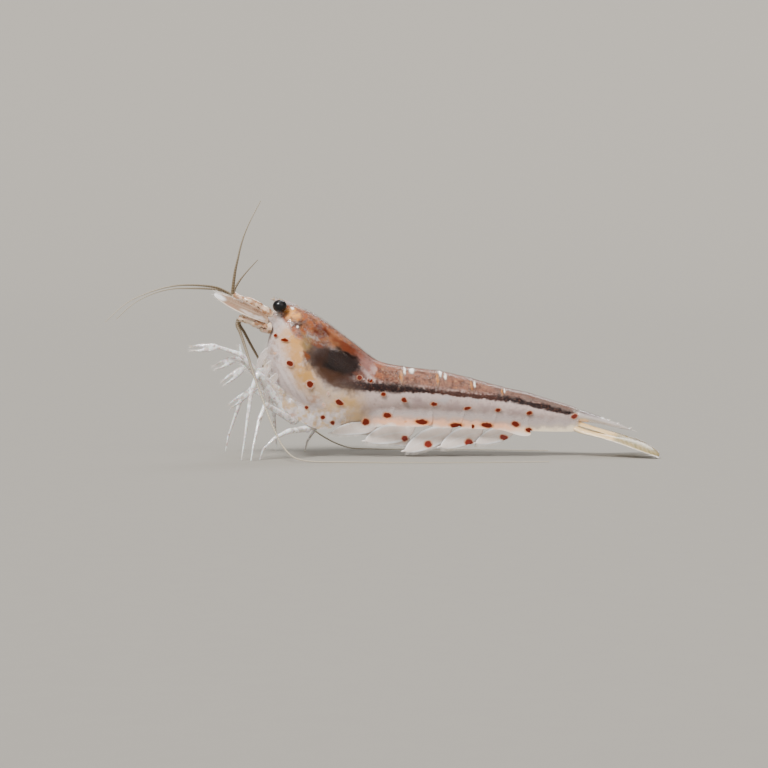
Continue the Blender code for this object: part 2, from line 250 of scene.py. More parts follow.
def add(tree: Tree, kind: str, *inputs: object, out: int | str = 0, **settings: object) -> Socket:
    """Add a node with its settings, values and links.

    Args:
        tree: The material's nodes.
        kind: The node's type, without its prefix.
        *inputs: Values or sockets in order, or one dictionary of them by the input's name or number.
        out: The output to return.
        **settings: The node's own settings.

    Returns:
        One output socket.
    """
    node = tree.nodes.new("ShaderNode" + kind)
    for key, value in settings.items():
        setattr(node, key, value)
    feed(tree, node, inputs[0] if inputs and isinstance(inputs[0], dict) else dict(enumerate(inputs)))
    return node.outputs[out]


# Settings that many nodes share: kinds of sum, a soft step, and one colour over another by a mask
TIMES, PLUS = {"operation": "MULTIPLY"}, {"operation": "ADD"}
MINUS, MOST = {"operation": "SUBTRACT"}, {"operation": "MAXIMUM"}
SOFT = {"interpolation_type": "SMOOTHSTEP"}
PAINT = {"out": 2, "data_type": "RGBA", "clamp_factor": True}

# Spots of red pigment on each flank: x, z, half length, half height in mm, tilt in degrees
SPOTS = (
    (-10.9, 13.1, 0.16, 0.14, 0), (-9.85, 12.6, 0.36, 0.17, -10), (-9.3, 10.1, 0.33, 0.26, -20),
    (-7.15, 7.9, 0.34, 0.3, -30), (-4.0, 5.95, 0.42, 0.24, -30), (-5.8, 4.35, 0.2, 0.18, 0),
    (-4.75, 3.75, 0.18, 0.2, 0), (-7.5, 5.4, 0.18, 0.16, 0), (-1.6, 10.05, 0.24, 0.18, 0),
    (-1.85, 8.6, 0.24, 0.2, 10), (-0.7, 8.3, 0.24, 0.2, 0),
    (0.7, 6.8, 0.26, 0.17, -15), (2.9, 6.2, 0.26, 0.2, -10), (6.1, 5.75, 0.3, 0.19, 0),
    (9.7, 5.3, 0.32, 0.15, 15), (13.0, 5.1, 0.26, 0.17, 10), (16.4, 4.75, 0.28, 0.18, 0),
    (-1.2, 3.85, 0.34, 0.33, 0), (1.1, 4.55, 0.4, 0.28, -8), (4.8, 3.85, 0.64, 0.24, -6),
    (8.5, 3.45, 0.6, 0.26, 0), (10.3, 3.35, 0.13, 0.2, 0), (11.8, 3.45, 0.54, 0.26, -10),
    (14.9, 3.55, 0.38, 0.26, -10), (16.3, 2.9, 0.32, 0.24, -10), (21.25, 4.35, 0.34, 0.22, 15),
)
FAINT_SPOTS = ((-10.9, 11.2, 0.24, 0.18, 0), (-5.2, 6.9, 0.2, 0.26, 0), (-5.7, 5.7, 0.2, 0.3, 20),
               (3.0, 3.9, 0.16, 0.14, 0), (-9.0, 4.6, 0.45, 0.2, 0))
LEAF_SPOTS = ((3.0, 1.95, 0.3, 0.28, 0), (5.5, 1.35, 0.38, 0.34, 0), (9.9, 1.5, 0.38, 0.36, -20),
              (13.7, 2.05, 0.4, 0.26, -20))
# Yellow fat under the shell: x, z, half length, half height, tilt, softness, colour, strength
FAT = (
    (-8.7, 12.7, 1.7, 1.3, -10, 0.8, "#C88C36", 0.88),
    (-8.5, 10.6, 1.2, 1.5, 0, 0.8, "#C88D3A", 0.84),
    (-7.5, 8.6, 1.2, 1.4, 25, 0.8, "#BE8A38", 0.9),
    (-5.9, 7.1, 1.1, 0.8, 0, 0.8, "#B99668", 0.7),
    (-3.3, 5.6, 1.6, 1.5, -20, 0.8, "#C79D5C", 0.88),
    (-6.8, 6.2, 0.5, 0.4, 0, 0.6, "#B07D50", 0.6),
    (-2.4, 4.3, 1.6, 0.8, -15, 0.8, "#F6D6A6", 0.8),
    (-4.1, 5.2, 1.3, 0.6, -20, 0.8, "#F2CE96", 0.75),
    (-11.3, 15.3, 0.8, 0.4, -40, 0.7, "#A27861", 0.6),
    (-12.0, 14.4, 0.5, 0.4, -30, 0.7, "#A27861", 0.5),
)
# Organs and patches of pigment, in the same columns
PATCHES = (
    (-4.4, 12.4, 2.4, 0.75, -30, 0.7, "#8A5A3C", 0.85),  # bright pigment over the liver
    (-1.4, 10.1, 1.2, 1.3, -20, 0.8, "#8C6864", 0.75),
    (-0.5, 9.3, 0.28, 0.55, 10, 0.6, "#B0948D", 0.7),
    (-7.4, 12.3, 0.6, 1.0, 0, 0.5, "#785E35", 0.9),  # olive strip ahead of the liver
    (-4.4, 10.0, 2.7, 1.85, -14, 0.3, "#0D0504", 1.0),  # liver
    (-3.5, 10.5, 1.6, 1.1, -24, 0.4, "#1C0D08", 0.95),
    (-6.4, 11.0, 1.15, 1.6, -30, 0.35, "#2A1409", 0.9),
    (-3.6, 8.0, 2.3, 0.9, -14, 0.5, "#3A2215", 0.88),
    (-5.4, 8.8, 1.4, 0.7, -40, 0.6, "#4A2E1D", 0.7),
    (-6.5, 12.2, 0.8, 0.35, -25, 0.6, "#6A351B", 0.9),  # rusty rim of the liver
    (-3.2, 11.9, 1.8, 0.34, -28, 0.7, "#5E2614", 0.85),
    (-7.45, 10.9, 0.26, 0.45, 10, 0.5, "#6E3714", 0.9),
    (-1.9, 9.0, 0.7, 0.35, -15, 0.6, "#5D3222", 0.8),
    (-6.0, 13.5, 0.85, 0.55, -20, 0.6, "#4C1A0C", 0.95),  # dark patch on the back
    (-7.9, 13.5, 0.6, 0.28, -20, 0.5, "#7D3C1B", 0.9),
    (-7.4, 14.15, 0.65, 0.4, -15, 0.6, "#84451F", 0.85),
    (-6.8, 12.9, 0.7, 0.24, -30, 0.5, "#8F827A", 0.8),  # stomach wall
    (-8.5, 14.4, 0.75, 0.45, -20, 0.5, "#35180E", 0.95),
    (-8.9, 15.35, 0.75, 0.55, -20, 0.6, "#F0A44C", 1.0),  # gold behind the eye
    (7.3, 6.25, 0.55, 0.4, 10, 0.5, "#B5ABAA", 0.8),  # pale gaps between the muscles
    (10.7, 6.05, 0.4, 0.3, 10, 0.5, "#B5ABAA", 0.7),
    (3.6, 5.2, 0.3, 0.9, 20, 0.5, "#ADA19C", 0.6),
    (4.6, 5.75, 0.9, 0.45, -5, 0.7, "#917B7A", 0.55),  # darker muscle
    (8.3, 5.45, 1.0, 0.5, -5, 0.7, "#917B7A", 0.55),
    (11.7, 5.35, 0.9, 0.45, -5, 0.7, "#917B7A", 0.5),
    (14.9, 4.9, 0.8, 0.35, -5, 0.7, "#917B7A", 0.5),
)
# Upper limit of the bright lower edge of the side plates, whose pale margin is partly a painted glow of light
# through the thin edge, as x, z
EDGE_TOP = ((-3.6, 4.5), (3.0, 4.35), (10.0, 4.05), (14.0, 3.75), (17.0, 3.35), (20.0, 3.35), (22.2, 3.8))
# Streaks in the telson, with four small white painted highlights where its dorsal spines stand: x, z, half
# length, half height, tilt, colour, strength
TELSON_STREAKS_AND_HIGHLIGHTS = ((22.9, 4.56, 1.6, 0.22, -17, "#4A332C", 0.9), (23.8, 4.05, 1.9, 0.2, -18, "#E6DADA", 0.35),
                  (22.2, 3.75, 0.8, 0.35, -5, "#FFE0BC", 0.9), (24.4, 4.14, 0.19, 0.14, 0, "#FFFFFF", 1.0),
                  (25.0, 3.95, 0.09, 0.08, 0, "#FFFFFF", 1.0), (26.05, 3.57, 0.17, 0.13, 0, "#FFFFFF", 1.0),
                  (27.35, 3.05, 0.16, 0.12, 0, "#FFFFFF", 1.0))
# Flecks in the antenna scale, in the same columns
SCALE_STREAKS = ((-16.9, 17.25, 0.8, 0.24, -27, "#FFFFFF", 0.85),
                 (-14.4, 16.6, 0.9, 0.12, -25, "#6B4630", 0.6),
                 (-12.9, 15.75, 0.45, 0.12, -30, "#7A4E34", 0.6), (-15.6, 16.3, 0.7, 0.12, -27, "#B58A70",
                                                                   0.7),
                 (-12.6, 14.95, 0.6, 0.2, -20, "#F8EDE6", 0.7),
                 (-13.9, 15.55, 0.8, 0.16, -27, "#FFF4EC", 0.5))
# Circle that the lower front edge of the carapace follows: x, z, radius, radius, tilt
CHEEK = (-5.5, 10.9, 6.6, 6.6, 0)
# Middle of the gut, as x, z and half thickness
GUT = ((-3.6, 8.0, 0.6), (-1.0, 7.6, 0.55), (1.5, 7.5, 0.58), (3.2, 7.35, 0.46), (4.9, 7.2, 0.3),
       (7.5, 6.9, 0.24), (11.2, 6.5, 0.26), (14.0, 6.28, 0.4), (16.5, 5.68, 0.32), (18.8, 5.22, 0.4),
       (21.0, 4.68, 0.16))


@dataclass
class Markings:
    """Pigment and organs, drawn by where a point of the animal lies, the same on both flanks."""

    tree: Tree
    origin: Vector

    def __post_init__(self) -> None:
        """Read the place of a point in mm, as a vector and on each axis."""
        self.put = partial(add, self.tree)
        place = self.put("TexCoord", out="Object")
        self.place = self.put("Mapping", {"Vector": place, "Scale": (1 / MM,) * 3,
                                          "Location": tuple(-c / MM for c in self.origin)})
        self.fine = self.wander(0.45, 0.3)
        self.x = self.put("SeparateXYZ", {0: self.place}, out="X")
        self.y = self.put("SeparateXYZ", {0: self.place}, out="Y")
        self.z = self.put("SeparateXYZ", {0: self.place}, out="Z")

    def wander(self, size: float, reach: float) -> Socket:
        """The place pushed about at random, so that what is drawn there has uneven edges.

        Args:
            size: About how wide the waves of its edges are, in mm.
            reach: How far it is pushed, in mm.

        Returns:
            The place, a socket.
        """
        drift = self.put("TexNoise", {"Vector": self.place, "Scale": 1 / size, "Detail": 3.0}, out="Color")
        drift = self.put("VectorMath", {0: drift, 1: (0.5, 0.5, 0.5)}, **MINUS)
        drift = self.put("VectorMath", {0: drift, "Scale": reach}, operation="SCALE")
        return self.put("VectorMath", {0: self.place, 1: drift}, **PLUS)

    def blotches(self, size: float, low: float, high: float, start: float = 0.0, end: float = 1.0,
                 detail: float = 3.0, rough: float = 0.55) -> Socket:
        """Soft-edged blotches.

        Args:
            size: About how wide they are, in mm.
            low: Noise at which they begin.
            high: Noise at which they are full.
            start: Value between them.
            end: Value inside them.
            detail: Octaves of finer noise.
            rough: Strength of each octave against the one before.

        Returns:
            The value, a socket.
        """
        noise = self.put("TexNoise", {0: self.place, 2: 1 / size, 3: detail, 4: rough})
        return self.put("MapRange", noise, low, high, start, end, **SOFT)

    def uneven(self, size: float, reach: float, detail: float = 3.0, rough: float = 0.55) -> Socket:
        """A number that wanders about zero.

        Args:
            size: About how wide its waves are, in mm.
            reach: How far it goes, from its lowest to its highest.
            detail: Octaves of finer noise.
            rough: Strength of each octave against the one before.

        Returns:
            The value, a socket.
        """
        noise = self.put("TexNoise", {0: self.place, 2: 1 / size, 3: detail, 4: rough})
        return self.put("Math", self.put("Math", noise, 0.5, **MINUS), reach, **TIMES)

    def curve(self, line: Sequence[Sequence[float]], column: int = 1) -> Socket:
        """A value that follows a column of a table over X.

        Args:
            line: Rows that start with X.
            column: The column to follow.

        Returns:
            The value, a socket.
        """
        x0, x1 = line[0][0], line[-1][0]
        values = [row[column] for row in line]
        low, high = min(values), max(values)
        share = self.put("MapRange", {0: self.x, 1: x0, 2: x1})
        curve = self.put("FloatCurve", {"Value": share})
        knots = curve.node.mapping.curves[0]
        for row in line[1:-1]:
            knots.points.new((row[0] - x0) / (x1 - x0), (row[column] - low) / (high - low))
        for knot, row in zip(knots.points, line):
            knot.location = ((row[0] - x0) / (x1 - x0), (row[column] - low) / (high - low))
        curve.node.mapping.update()
        return self.put("MapRange", {0: curve, 3: low, 4: high})

    def ellipse(self, place: Socket, x: float, z: float, half_x: float, half_z: float,
                tilt: float) -> Socket:
        """How far a point is from the middle of an ellipse, 1 being its edge.

        Args:
            place: Where a point lies.
            x: Middle.
            z: Middle.
            half_x: Half length.
            half_z: Half height.
            tilt: Tilt in degrees.

        Returns:
            The distance, a socket.
        """
        local = self.put("Mapping", {"Vector": place, "Location": (x, 0, z),
                                     "Rotation": (0, math.radians(-tilt), 0),
                                     "Scale": (half_x, 1e4, half_z)}, vector_type="TEXTURE")
        return self.put("VectorMath", {0: local}, out="Value", operation="LENGTH")

    def nearest(self, spots: Sequence[Sequence[float]]) -> Socket:
        """How far a point is from the nearest of some ellipses, 1 being its edge.

        Args:
            spots: X, z, half length, half height and tilt of each.

        Returns:
            The distance, a socket.
        """
        reach = None
        for spot in spots:
            one = self.ellipse(self.fine, *spot)
            reach = one if reach is None else self.put("Math", reach, one, operation="MINIMUM")
        return reach

    def stained(self, colour: Socket, place: Socket, stains: Sequence[Sequence]) -> Socket:
        """Lay soft-edged ellipses of colour over a colour.

        Args:
            colour: What they lie on.
            place: Where a point lies.
            stains: X, z, half length, half height, tilt, softness, colour and strength of each.

        Returns:
            The new colour, a socket.
        """
        for *spot, soft, shade, strength in stains:
            near = self.ellipse(place, *spot)
            mask = self.put("MapRange", near, 1 + soft, 1 - soft, 0.0, strength, **SOFT)
            colour = self.put("Mix", {0: mask, 6: colour, 7: shade}, **PAINT)
        return colour

    def above_band(self, soft: float, rough: float = 1.3, lift: float = 0.0) -> Socket:
        """1 on the dark back, 0 on the flanks, with an uneven edge; it can start higher at the rear.

        Args:
            soft: Half width of the edge, in mm.
            rough: How uneven the edge is, in mm.
            lift: How much higher it starts at the rear, in mm.

        Returns:
            The mask, a socket.
        """
        rise = self.put("Math", self.z, self.curve(BAND_FLOOR), **MINUS)
        rise = self.put("Math", rise, self.put("MapRange", self.x, 5.0, 13.0, 0.0, lift, **SOFT), **MINUS)
        uneven = self.uneven(0.9, rough, detail=4)
        return self.put("MapRange", self.put("Math", rise, uneven, **PLUS), -soft, soft, **SOFT)


@dataclass(frozen=True)
class Finish:
    """What every finish has: a name, and one way to become a material."""

    name: str = ""

    def surface(self, marks: Markings) -> dict[str, object]:
        """What goes into the shader; each finish has its own."""
        return {}

    def build(self, origin: Vector) -> Material:
        """Make the material.

        Args:
            origin: The animal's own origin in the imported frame.

        Returns:
            The material.
        """
        material = bpy.data.materials.new(self.name)
        material.use_nodes = True
        tree = material.node_tree
        feed(tree, tree.nodes["Principled BSDF"], self.surface(Markings(tree, origin)))
        return material


@dataclass(frozen=True)
class CuticleFinish(Finish):
    """Shell of chitin, secreted and hardened: clear and glossy, with pigment cells under it."""

    # To the eye: clear flanks with a thin wet gloss, under which opaque spots and a dark back seem to float.
    # Pigment cells are 0.15 to 0.55 mm across, and the surface has pits 0.12 mm apart
    name: str = "chitin_cuticle"
    clear: str = "#A8958D"
    cheek: str = "#DCD0CC"
    cheek_warm: str = "#D2B48E"
    back_front: str = "#744532"
    back_rear: str = "#734C3D"
    ridge: str = "#4E322D"
    speck: str = "#402520"
    fleck: str = "#E2B98C"
    # Lower edge of the side plates: their pale margin, painted brighter as the glow of light through the thin
    # shell; rim is its lowest line
    edge: str = "#FFBF96"
    edge_rear: str = "#FFEBCB"
    rim: str = "#FFF3E8"
    veil: str = "#D3C5C0"
    spot: str = "#5E1400"
    halo: str = "#CE7A38"
    joint: str = "#C07A34"
    # Colour of the painted highlights
    glint: str = "#FFF8EC"
    glass: float = 0.006
    roughness: float = 0.2
    lift: float = 0.3
    pit: float = 0.12
    pit_depth: float = 0.04 * MM
    # Rust line down the rear edge of a plate: x, z, half width, half height, tilt
    joints: tuple = ((2.62, 8.7, 0.24, 0.85, 6), (6.5, 8.4, 0.22, 0.85, 6), (10.15, 7.7, 0.16, 0.75, 6),
                     (13.45, 7.0, 0.12, 0.55, 6))
    # Painted highlights where the light catches the thick edge of a plate, and two on the carapace: x, z,
    # half width, half height, tilt
    glints: tuple = ((2.95, 9.35, 0.16, 0.5, 8), (3.75, 9.3, 0.34, 0.36, -5), (6.8, 9.0, 0.18, 0.42, 8),
                     (7.35, 8.65, 0.18, 0.36, 0), (10.5, 7.85, 0.12, 0.4, 0), (13.7, 7.1, 0.1, 0.3, 0),
                     (-9.1, 16.0, 0.25, 0.16, -20), (-8.5, 14.0, 0.13, 0.13, 0))

    def surface(self, marks: Markings) -> dict[str, object]:
        """Opaque spots, edges, dark back and painted highlights; the rest lets the body show.

        Args:
            marks: The material's nodes and patterns.

        Returns:
            What goes into the shader.
        """
        put, place, blotches = marks.put, marks.place, marks.blotches
        x, y, z = marks.x, marks.y, marks.z
        back = marks.above_band(0.4, lift=self.lift)
        mottle = blotches(0.55, 0.44, 0.66, detail=5, rough=0.65)
        mottle = put("Math", mottle, put("MapRange", x, 9.0, 17.0, 0.0, 0.9, **SOFT), **MOST)
        back = put("Math", back, put("MapRange", x, 21.9, 20.9, **SOFT), **TIMES)
        pigment = put("Math", back, mottle, **TIMES)
        fleck = put("Math", blotches(0.2, 0.6, 0.7, rough=0.6), back, **TIMES)
        pale = put("Math", fleck, put("MapRange", x, -6.0, 1.0, 0.1, 0.7, **SOFT), **TIMES)
        speck = put("Math", blotches(0.15, 0.54, 0.64, detail=4, rough=0.7), back, **TIMES)
        speck = put("Math", speck, put("MapRange", x, -9.0, 2.0, 0.25, 0.65, **SOFT), **TIMES)
        beside = put("Math", y, operation="ABSOLUTE")
        ridge = put("Math", put("MapRange", beside, 0.75, 0.25, 0.0, 0.25, **SOFT), back, **TIMES)
        tone = put("Mix", {0: put("MapRange", x, -4.0, 2.0, **SOFT), 6: self.back_front, 7: self.back_rear},
                   **PAINT)
        cheek = put("Mix", {0: blotches(0.6, 0.46, 0.62, detail=4), 6: self.cheek, 7: self.cheek_warm},
                    **PAINT)
        colour = put("Mix", {0: put("MapRange", x, -2.2, -3.4, **SOFT), 6: self.clear, 7: cheek}, **PAINT)
        for mask, over in ((pigment, tone), (speck, self.speck), (ridge, self.ridge), (pale, self.fleck)):
            colour = put("Mix", {0: mask, 6: colour, 7: over}, **PAINT)
        behind = put("Math", put("MapRange", x, -2.2, 0.8, **SOFT), put("MapRange", x, 22.2, 21.2, **SOFT),
                     **TIMES)
        above = put("Math", z, marks.curve(EDGE_TOP), **MINUS)
        above = put("Math", above, marks.uneven(0.8, 0.9), **PLUS)
        veil = put("Math", put("MapRange", above, 1.5, 0.1, 0.0, 0.45, **SOFT), behind, **TIMES)
        # Lower edge of the side plates: the pale margin colour, painted brighter towards white as the glow of
        # light through the thin edge
        edge = put("Math", put("MapRange", above, 0.35, -0.55, 0.0, 0.97, **SOFT), behind, **TIMES)
        glow = put("Mix", {0: put("MapRange", x, 13.0, 18.0, **SOFT), 6: self.edge, 7: self.edge_rear},
                   **PAINT)
        glow = put("Mix", {0: put("MapRange", above, -0.5, -1.2, **SOFT), 6: glow, 7: self.rim}, **PAINT)
        for mask, over in ((put("MapRange", veil, 0.0, 0.3, **SOFT), self.veil), (edge, glow)):
            colour = put("Mix", {0: mask, 6: colour, 7: over}, **PAINT)
        joint = put("MapRange", marks.nearest(self.joints), 1.3, 0.3, 0.0, 0.75, **SOFT)
        colour = put("Mix", {0: joint, 6: colour, 7: self.joint}, **PAINT)
        near = marks.nearest(SPOTS)
        halo = put("MapRange", near, 1.8, 1.0, **SOFT)
        core = put("MapRange", near, 1.22, 0.92, **SOFT)
        faint = put("MapRange", marks.nearest(FAINT_SPOTS), 1.3, 0.5, 0.0, 0.45, **SOFT)
        for mask, over in ((put("Math", faint, put("Math", halo, 0.8, **TIMES), **MOST), self.halo),
                           (core, self.spot)):
            colour = put("Mix", {0: mask, 6: colour, 7: over}, **PAINT)
        # Painted highlights: near-white patches on the plate edges and the carapace, kept off the mid-line of
        # the back
        glint = put("Math", put("MapRange", marks.nearest(self.glints), 1.5, 0.3, 0.0, 0.95, **SOFT),
                    put("MapRange", beside, 0.35, 0.8, **SOFT), **TIMES)
        colour = put("Mix", {0: glint, 6: colour, 7: self.glint}, **PAINT)
        margin = put("MapRange", marks.ellipse(marks.fine, *CHEEK), 0.78, 1.0, **SOFT)
        margin = put("Math", margin, put("MapRange", z, 8.0, 5.5, 0.25, 0.75, **SOFT), **TIMES)
        margin = put("Math", margin, put("Math", put("MapRange", x, -2.2, -4.4, **SOFT),
                                         put("MapRange", z, 13.0, 10.0, **SOFT), **TIMES), **TIMES)
        margin = put("Math", margin, blotches(0.7, 0.35, 0.62, 0.55, 1.0, detail=4), **TIMES)
        alpha = put("Math", pigment, put("MapRange", x, 8.0, 17.0, 0.4, 0.85, **SOFT), **TIMES)
        alpha = put("Math", self.glass, alpha, **PLUS)
        for mask in (margin, veil, edge, put("Math", halo, 0.6, **TIMES), core, faint, glint, joint, speck,
                     ridge, put("Math", pale, 0.7, **TIMES)):
            alpha = put("Math", alpha, mask, **MOST)
        pits = put("Bump", {"Height": put("TexNoise", {0: place, 2: 1 / self.pit, 3: 2, 4: 0.55}),
                            "Strength": 0.12, "Distance": self.pit_depth}, out="Normal")
        return {"Base Color": colour, "Alpha": alpha, "Normal": pits, "Roughness": self.roughness,
                "Specular IOR Level": 0.2, "Coat Weight": 0.2, "Coat Roughness": 0.08}


@dataclass(frozen=True)
class FleshFinish(Finish):
    """Living tissue under clear shell: milky muscle, dark liver, dark gut, wet looking."""

    # To the eye: cloudy and moist, softly lit from within.  Fibres are 0.3 mm apart and clouds 1 mm across
    name: str = "living_tissue"
    muscle: str = "#C0ABA4"
    muscle_dark: str = "#A18C88"
    gills: str = "#D6C7C3"
    gill_gap: str = "#9D867F"
    gill_room: tuple = (-8.9, 7.9, 3.2, 1.9, -48)
    face: str = "#A27A68"
    back_front: str = "#8E4A26"
    back_rear: str = "#8A5A46"
    back_dark: str = "#512D22"
    back_pale: str = "#BE8A5E"
    gut: str = "#1E1110"
    gut_middle: str = "#3A2018"
    gut_fleck: str = "#6E4636"
    gut_edge: str = "#4E291E"
    grain: str = "#81685D"
    glow: str = "#FFF4E8"
    fibre: float = 0.3
    fibre_depth: float = 0.1 * MM

    def surface(self, marks: Markings) -> dict[str, object]:
        """Muscle, gills, fat, dark back, organs and gut, one over the other.

        Args:
            marks: The material's nodes and patterns.

        Returns:
            What goes into the shader.
        """
        put, place, blotches = marks.put, marks.place, marks.blotches
        x, z = marks.x, marks.z
        muscle = put("Mix", {0: blotches(1.1, 0.52, 0.68, 0.0, 0.7, detail=4), 6: self.muscle,
                             7: self.muscle_dark}, **PAINT)
        colour = put("Mix", {0: put("MapRange", x, -4.5, -1.0, **SOFT), 6: self.gills, 7: muscle}, **PAINT)
        grain = blotches(0.28, 0.5, 0.7, 0.0, 0.4, detail=5, rough=0.7)
        for mask, over in ((grain, self.grain),
                           (blotches(0.2, 0.6, 0.74, 0.0, 0.35, detail=4, rough=0.7), self.glow)):
            colour = put("Mix", {0: mask, 6: colour, 7: over}, **PAINT)
        comb = put("Math", put("Math", x, 9.0, **TIMES), put("Math", z, 5.0, **TIMES), **PLUS)
        comb = put("MapRange", put("Math", comb, operation="SINE"), -0.2, 1.0, 0.0, 0.3, **SOFT)
        comb = put("Math", comb, put("MapRange", marks.ellipse(marks.fine, *self.gill_room), 1.2, 0.5,
                                     **SOFT), **TIMES)
        colour = put("Mix", {0: comb, 6: colour, 7: self.gill_gap}, **PAINT)
        face = put("Math", blotches(0.55, 0.48, 0.62, detail=4), put("MapRange", x, -9.8, -11.3, **SOFT),
                   **TIMES)
        colour = put("Mix", {0: put("Math", face, 0.6, **TIMES), 6: colour, 7: self.face}, **PAINT)
        ragged = marks.wander(0.7, 1.5)
        colour = marks.stained(colour, ragged, FAT)
        cloud = put("Math", blotches(0.9, 0.52, 0.68, 0.0, 0.5, detail=4),
                    put("MapRange", x, -1.0, -3.0, **SOFT), **TIMES)
        colour = put("Mix", {0: cloud, 6: colour, 7: self.gills}, **PAINT)
        back = marks.above_band(0.4, 0.6)
        tone = put("Mix", {0: put("MapRange", x, -2.5, 3.0, **SOFT), 6: self.back_front, 7: self.back_rear},
                   **PAINT)
        tone = put("Mix", {0: blotches(0.55, 0.5, 0.62, 0.0, 0.75, detail=5, rough=0.65), 6: tone,
                           7: self.back_dark}, **PAINT)
        tone = put("Mix", {0: blotches(0.38, 0.56, 0.68, 0.0, 0.65, detail=4, rough=0.65), 6: tone,
                           7: self.back_pale}, **PAINT)
        colour = put("Mix", {0: back, 6: colour, 7: tone}, **PAINT)
        colour = marks.stained(colour, ragged, PATCHES)
        middle, girth = marks.curve(GUT), marks.curve(GUT, 2)
        off = put("Math", z, middle, **MINUS)
        off = put("Math", off, marks.uneven(0.5, 0.9, detail=5, rough=0.7), **PLUS)
        reach = put("Math", put("Math", off, operation="ABSOLUTE"), girth, operation="DIVIDE")
        along = put("Math", put("MapRange", x, -4.6, -0.8, **SOFT), put("MapRange", x, 21.4, 20.8, **SOFT),
                    **TIMES)
        lid = put("Math", put("MapRange", off, 0.0, 0.25, **SOFT), put("MapRange", reach, 2.6, 1.1, **SOFT),
                  **TIMES)
        lid = put("Math", lid, blotches(0.3, 0.4, 0.58, 0.1, 0.9, detail=4), **TIMES)
        colour = put("Mix", {0: put("Math", lid, along, **TIMES), 6: colour, 7: self.gut_edge}, **PAINT)
        amid = put("Math", put("MapRange", x, 4.5, 7.0, **SOFT), put("MapRange", x, 14.0, 12.0, **SOFT),
                   **TIMES)
        gut = put("Mix", {0: amid, 6: self.gut, 7: self.gut_middle}, **PAINT)
        gut = put("Mix", {0: blotches(0.22, 0.52, 0.66, 0.0, 0.6, detail=5, rough=0.7), 6: gut,
                          7: self.gut_fleck}, **PAINT)
        colour = put("Mix", {0: put("Math", put("MapRange", reach, 1.25, 0.55, **SOFT), along, **TIMES),
                             6: colour, 7: gut}, **PAINT)
        rind = put("MapRange", marks.ellipse(ragged, *CHEEK), 0.7, 1.05, **SOFT)
        rind = put("Math", rind, put("MapRange", x, -4.5, -6.5, **SOFT), **TIMES)
        rind = put("Math", rind, put("MapRange", z, 5.5, 7.0, **SOFT), **TIMES)
        fibres = put("Bump", {"Height": put("TexNoise", {0: place, 2: 1 / self.fibre, 3: 4, 4: 0.55}),
                              "Strength": 0.25, "Distance": self.fibre_depth}, out="Normal")
        alpha = put("Math", 1.0, put("Math", rind, 0.35, **TIMES), **MINUS)
        return {"Base Color": colour, "Alpha": alpha, "Roughness": 0.5, "Specular IOR Level": 0.08,
                "Coat Weight": 0.15, "Coat Roughness": 0.06, "Subsurface Weight": 0.1,
                "Subsurface Scale": 0.0003, "Subsurface Radius": (1.0, 0.6, 0.45), "Normal": fibres}


@dataclass(frozen=True)
class CorneaFinish(Finish):
    """A compound eye: black pigment under clear, closely packed lenses."""

    # To the eye: deep black with one small soft light.  Lenses, 0.02 mm across in life, are drawn at 0.09 mm
    name: str = "black_compound_eye"
    black: str = "#070607"
    brown: str = "#1C1412"
    lenses_per_mm: float = 11.0
    relief: float = 0.03 * MM

    def surface(self, marks: Markings) -> dict[str, object]:
        """Lenses in low relief over black.

        Args:
            marks: The material's nodes and patterns.

        Returns:
            What goes into the shader.
        """
        put, place, blotches = marks.put, marks.place, marks.blotches
        cells = put("TexVoronoi", {"Vector": place, "Scale": self.lenses_per_mm, "Randomness": 0.25})
        bump = put("Bump", {"Height": cells, "Strength": 0.08, "Distance": self.relief}, out="Normal")
        tint = put("Mix", {0: blotches(0.5, 0.5, 0.7), 6: self.black, 7: self.brown}, **PAINT)
        return {"Normal": bump, "Base Color": tint, "Roughness": 0.35, "Specular IOR Level": 0.25,
                "Coat Weight": 0.35, "Coat Roughness": 0.06}


@dataclass(frozen=True)
class LimbFinish(Finish):
    """Thin chitin tube round clear flesh: glassy, whiter at the joints, with a few rusty flecks."""

    # To the eye: a glass tube, bright along its middle and milky in clouds of 0.6 mm
    name: str = "glassy_limb_cuticle"
    clear: str = "#E6DBD4"
    white: str = "#FFFFFF"
    rust: str = "#8E4A22"
    alpha: float = 0.68
    rust_amount: float = 0.6

    def surface(self, marks: Markings) -> dict[str, object]:
        """Milky clouds and rusty flecks in clear cuticle.

        Args:
            marks: The material's nodes and patterns.

        Returns:
            What goes into the shader.
        """
        put, blotches = marks.put, marks.blotches
        milk = blotches(0.6, 0.4, 0.56, detail=4)
        rust = blotches(0.5, 0.6, 0.68, 0.0, self.rust_amount, detail=4)
        colour = put("Mix", {0: milk, 6: self.clear, 7: self.white}, **PAINT)
        colour = put("Mix", {0: rust, 6: colour, 7: self.rust}, **PAINT)
        alpha = put("Math", self.alpha, put("Math", milk, 0.25, **TIMES), **PLUS)
        alpha = put("Math", alpha, put("Math", rust, 1.6, **TIMES), **MOST)
        return {"Base Color": colour, "Alpha": alpha, "Roughness": 0.12, "IOR": 1.55,
                "Subsurface Weight": 0.25, "Subsurface Scale": 0.0004, "Coat Weight": 0.8,
                "Coat Roughness": 0.05}


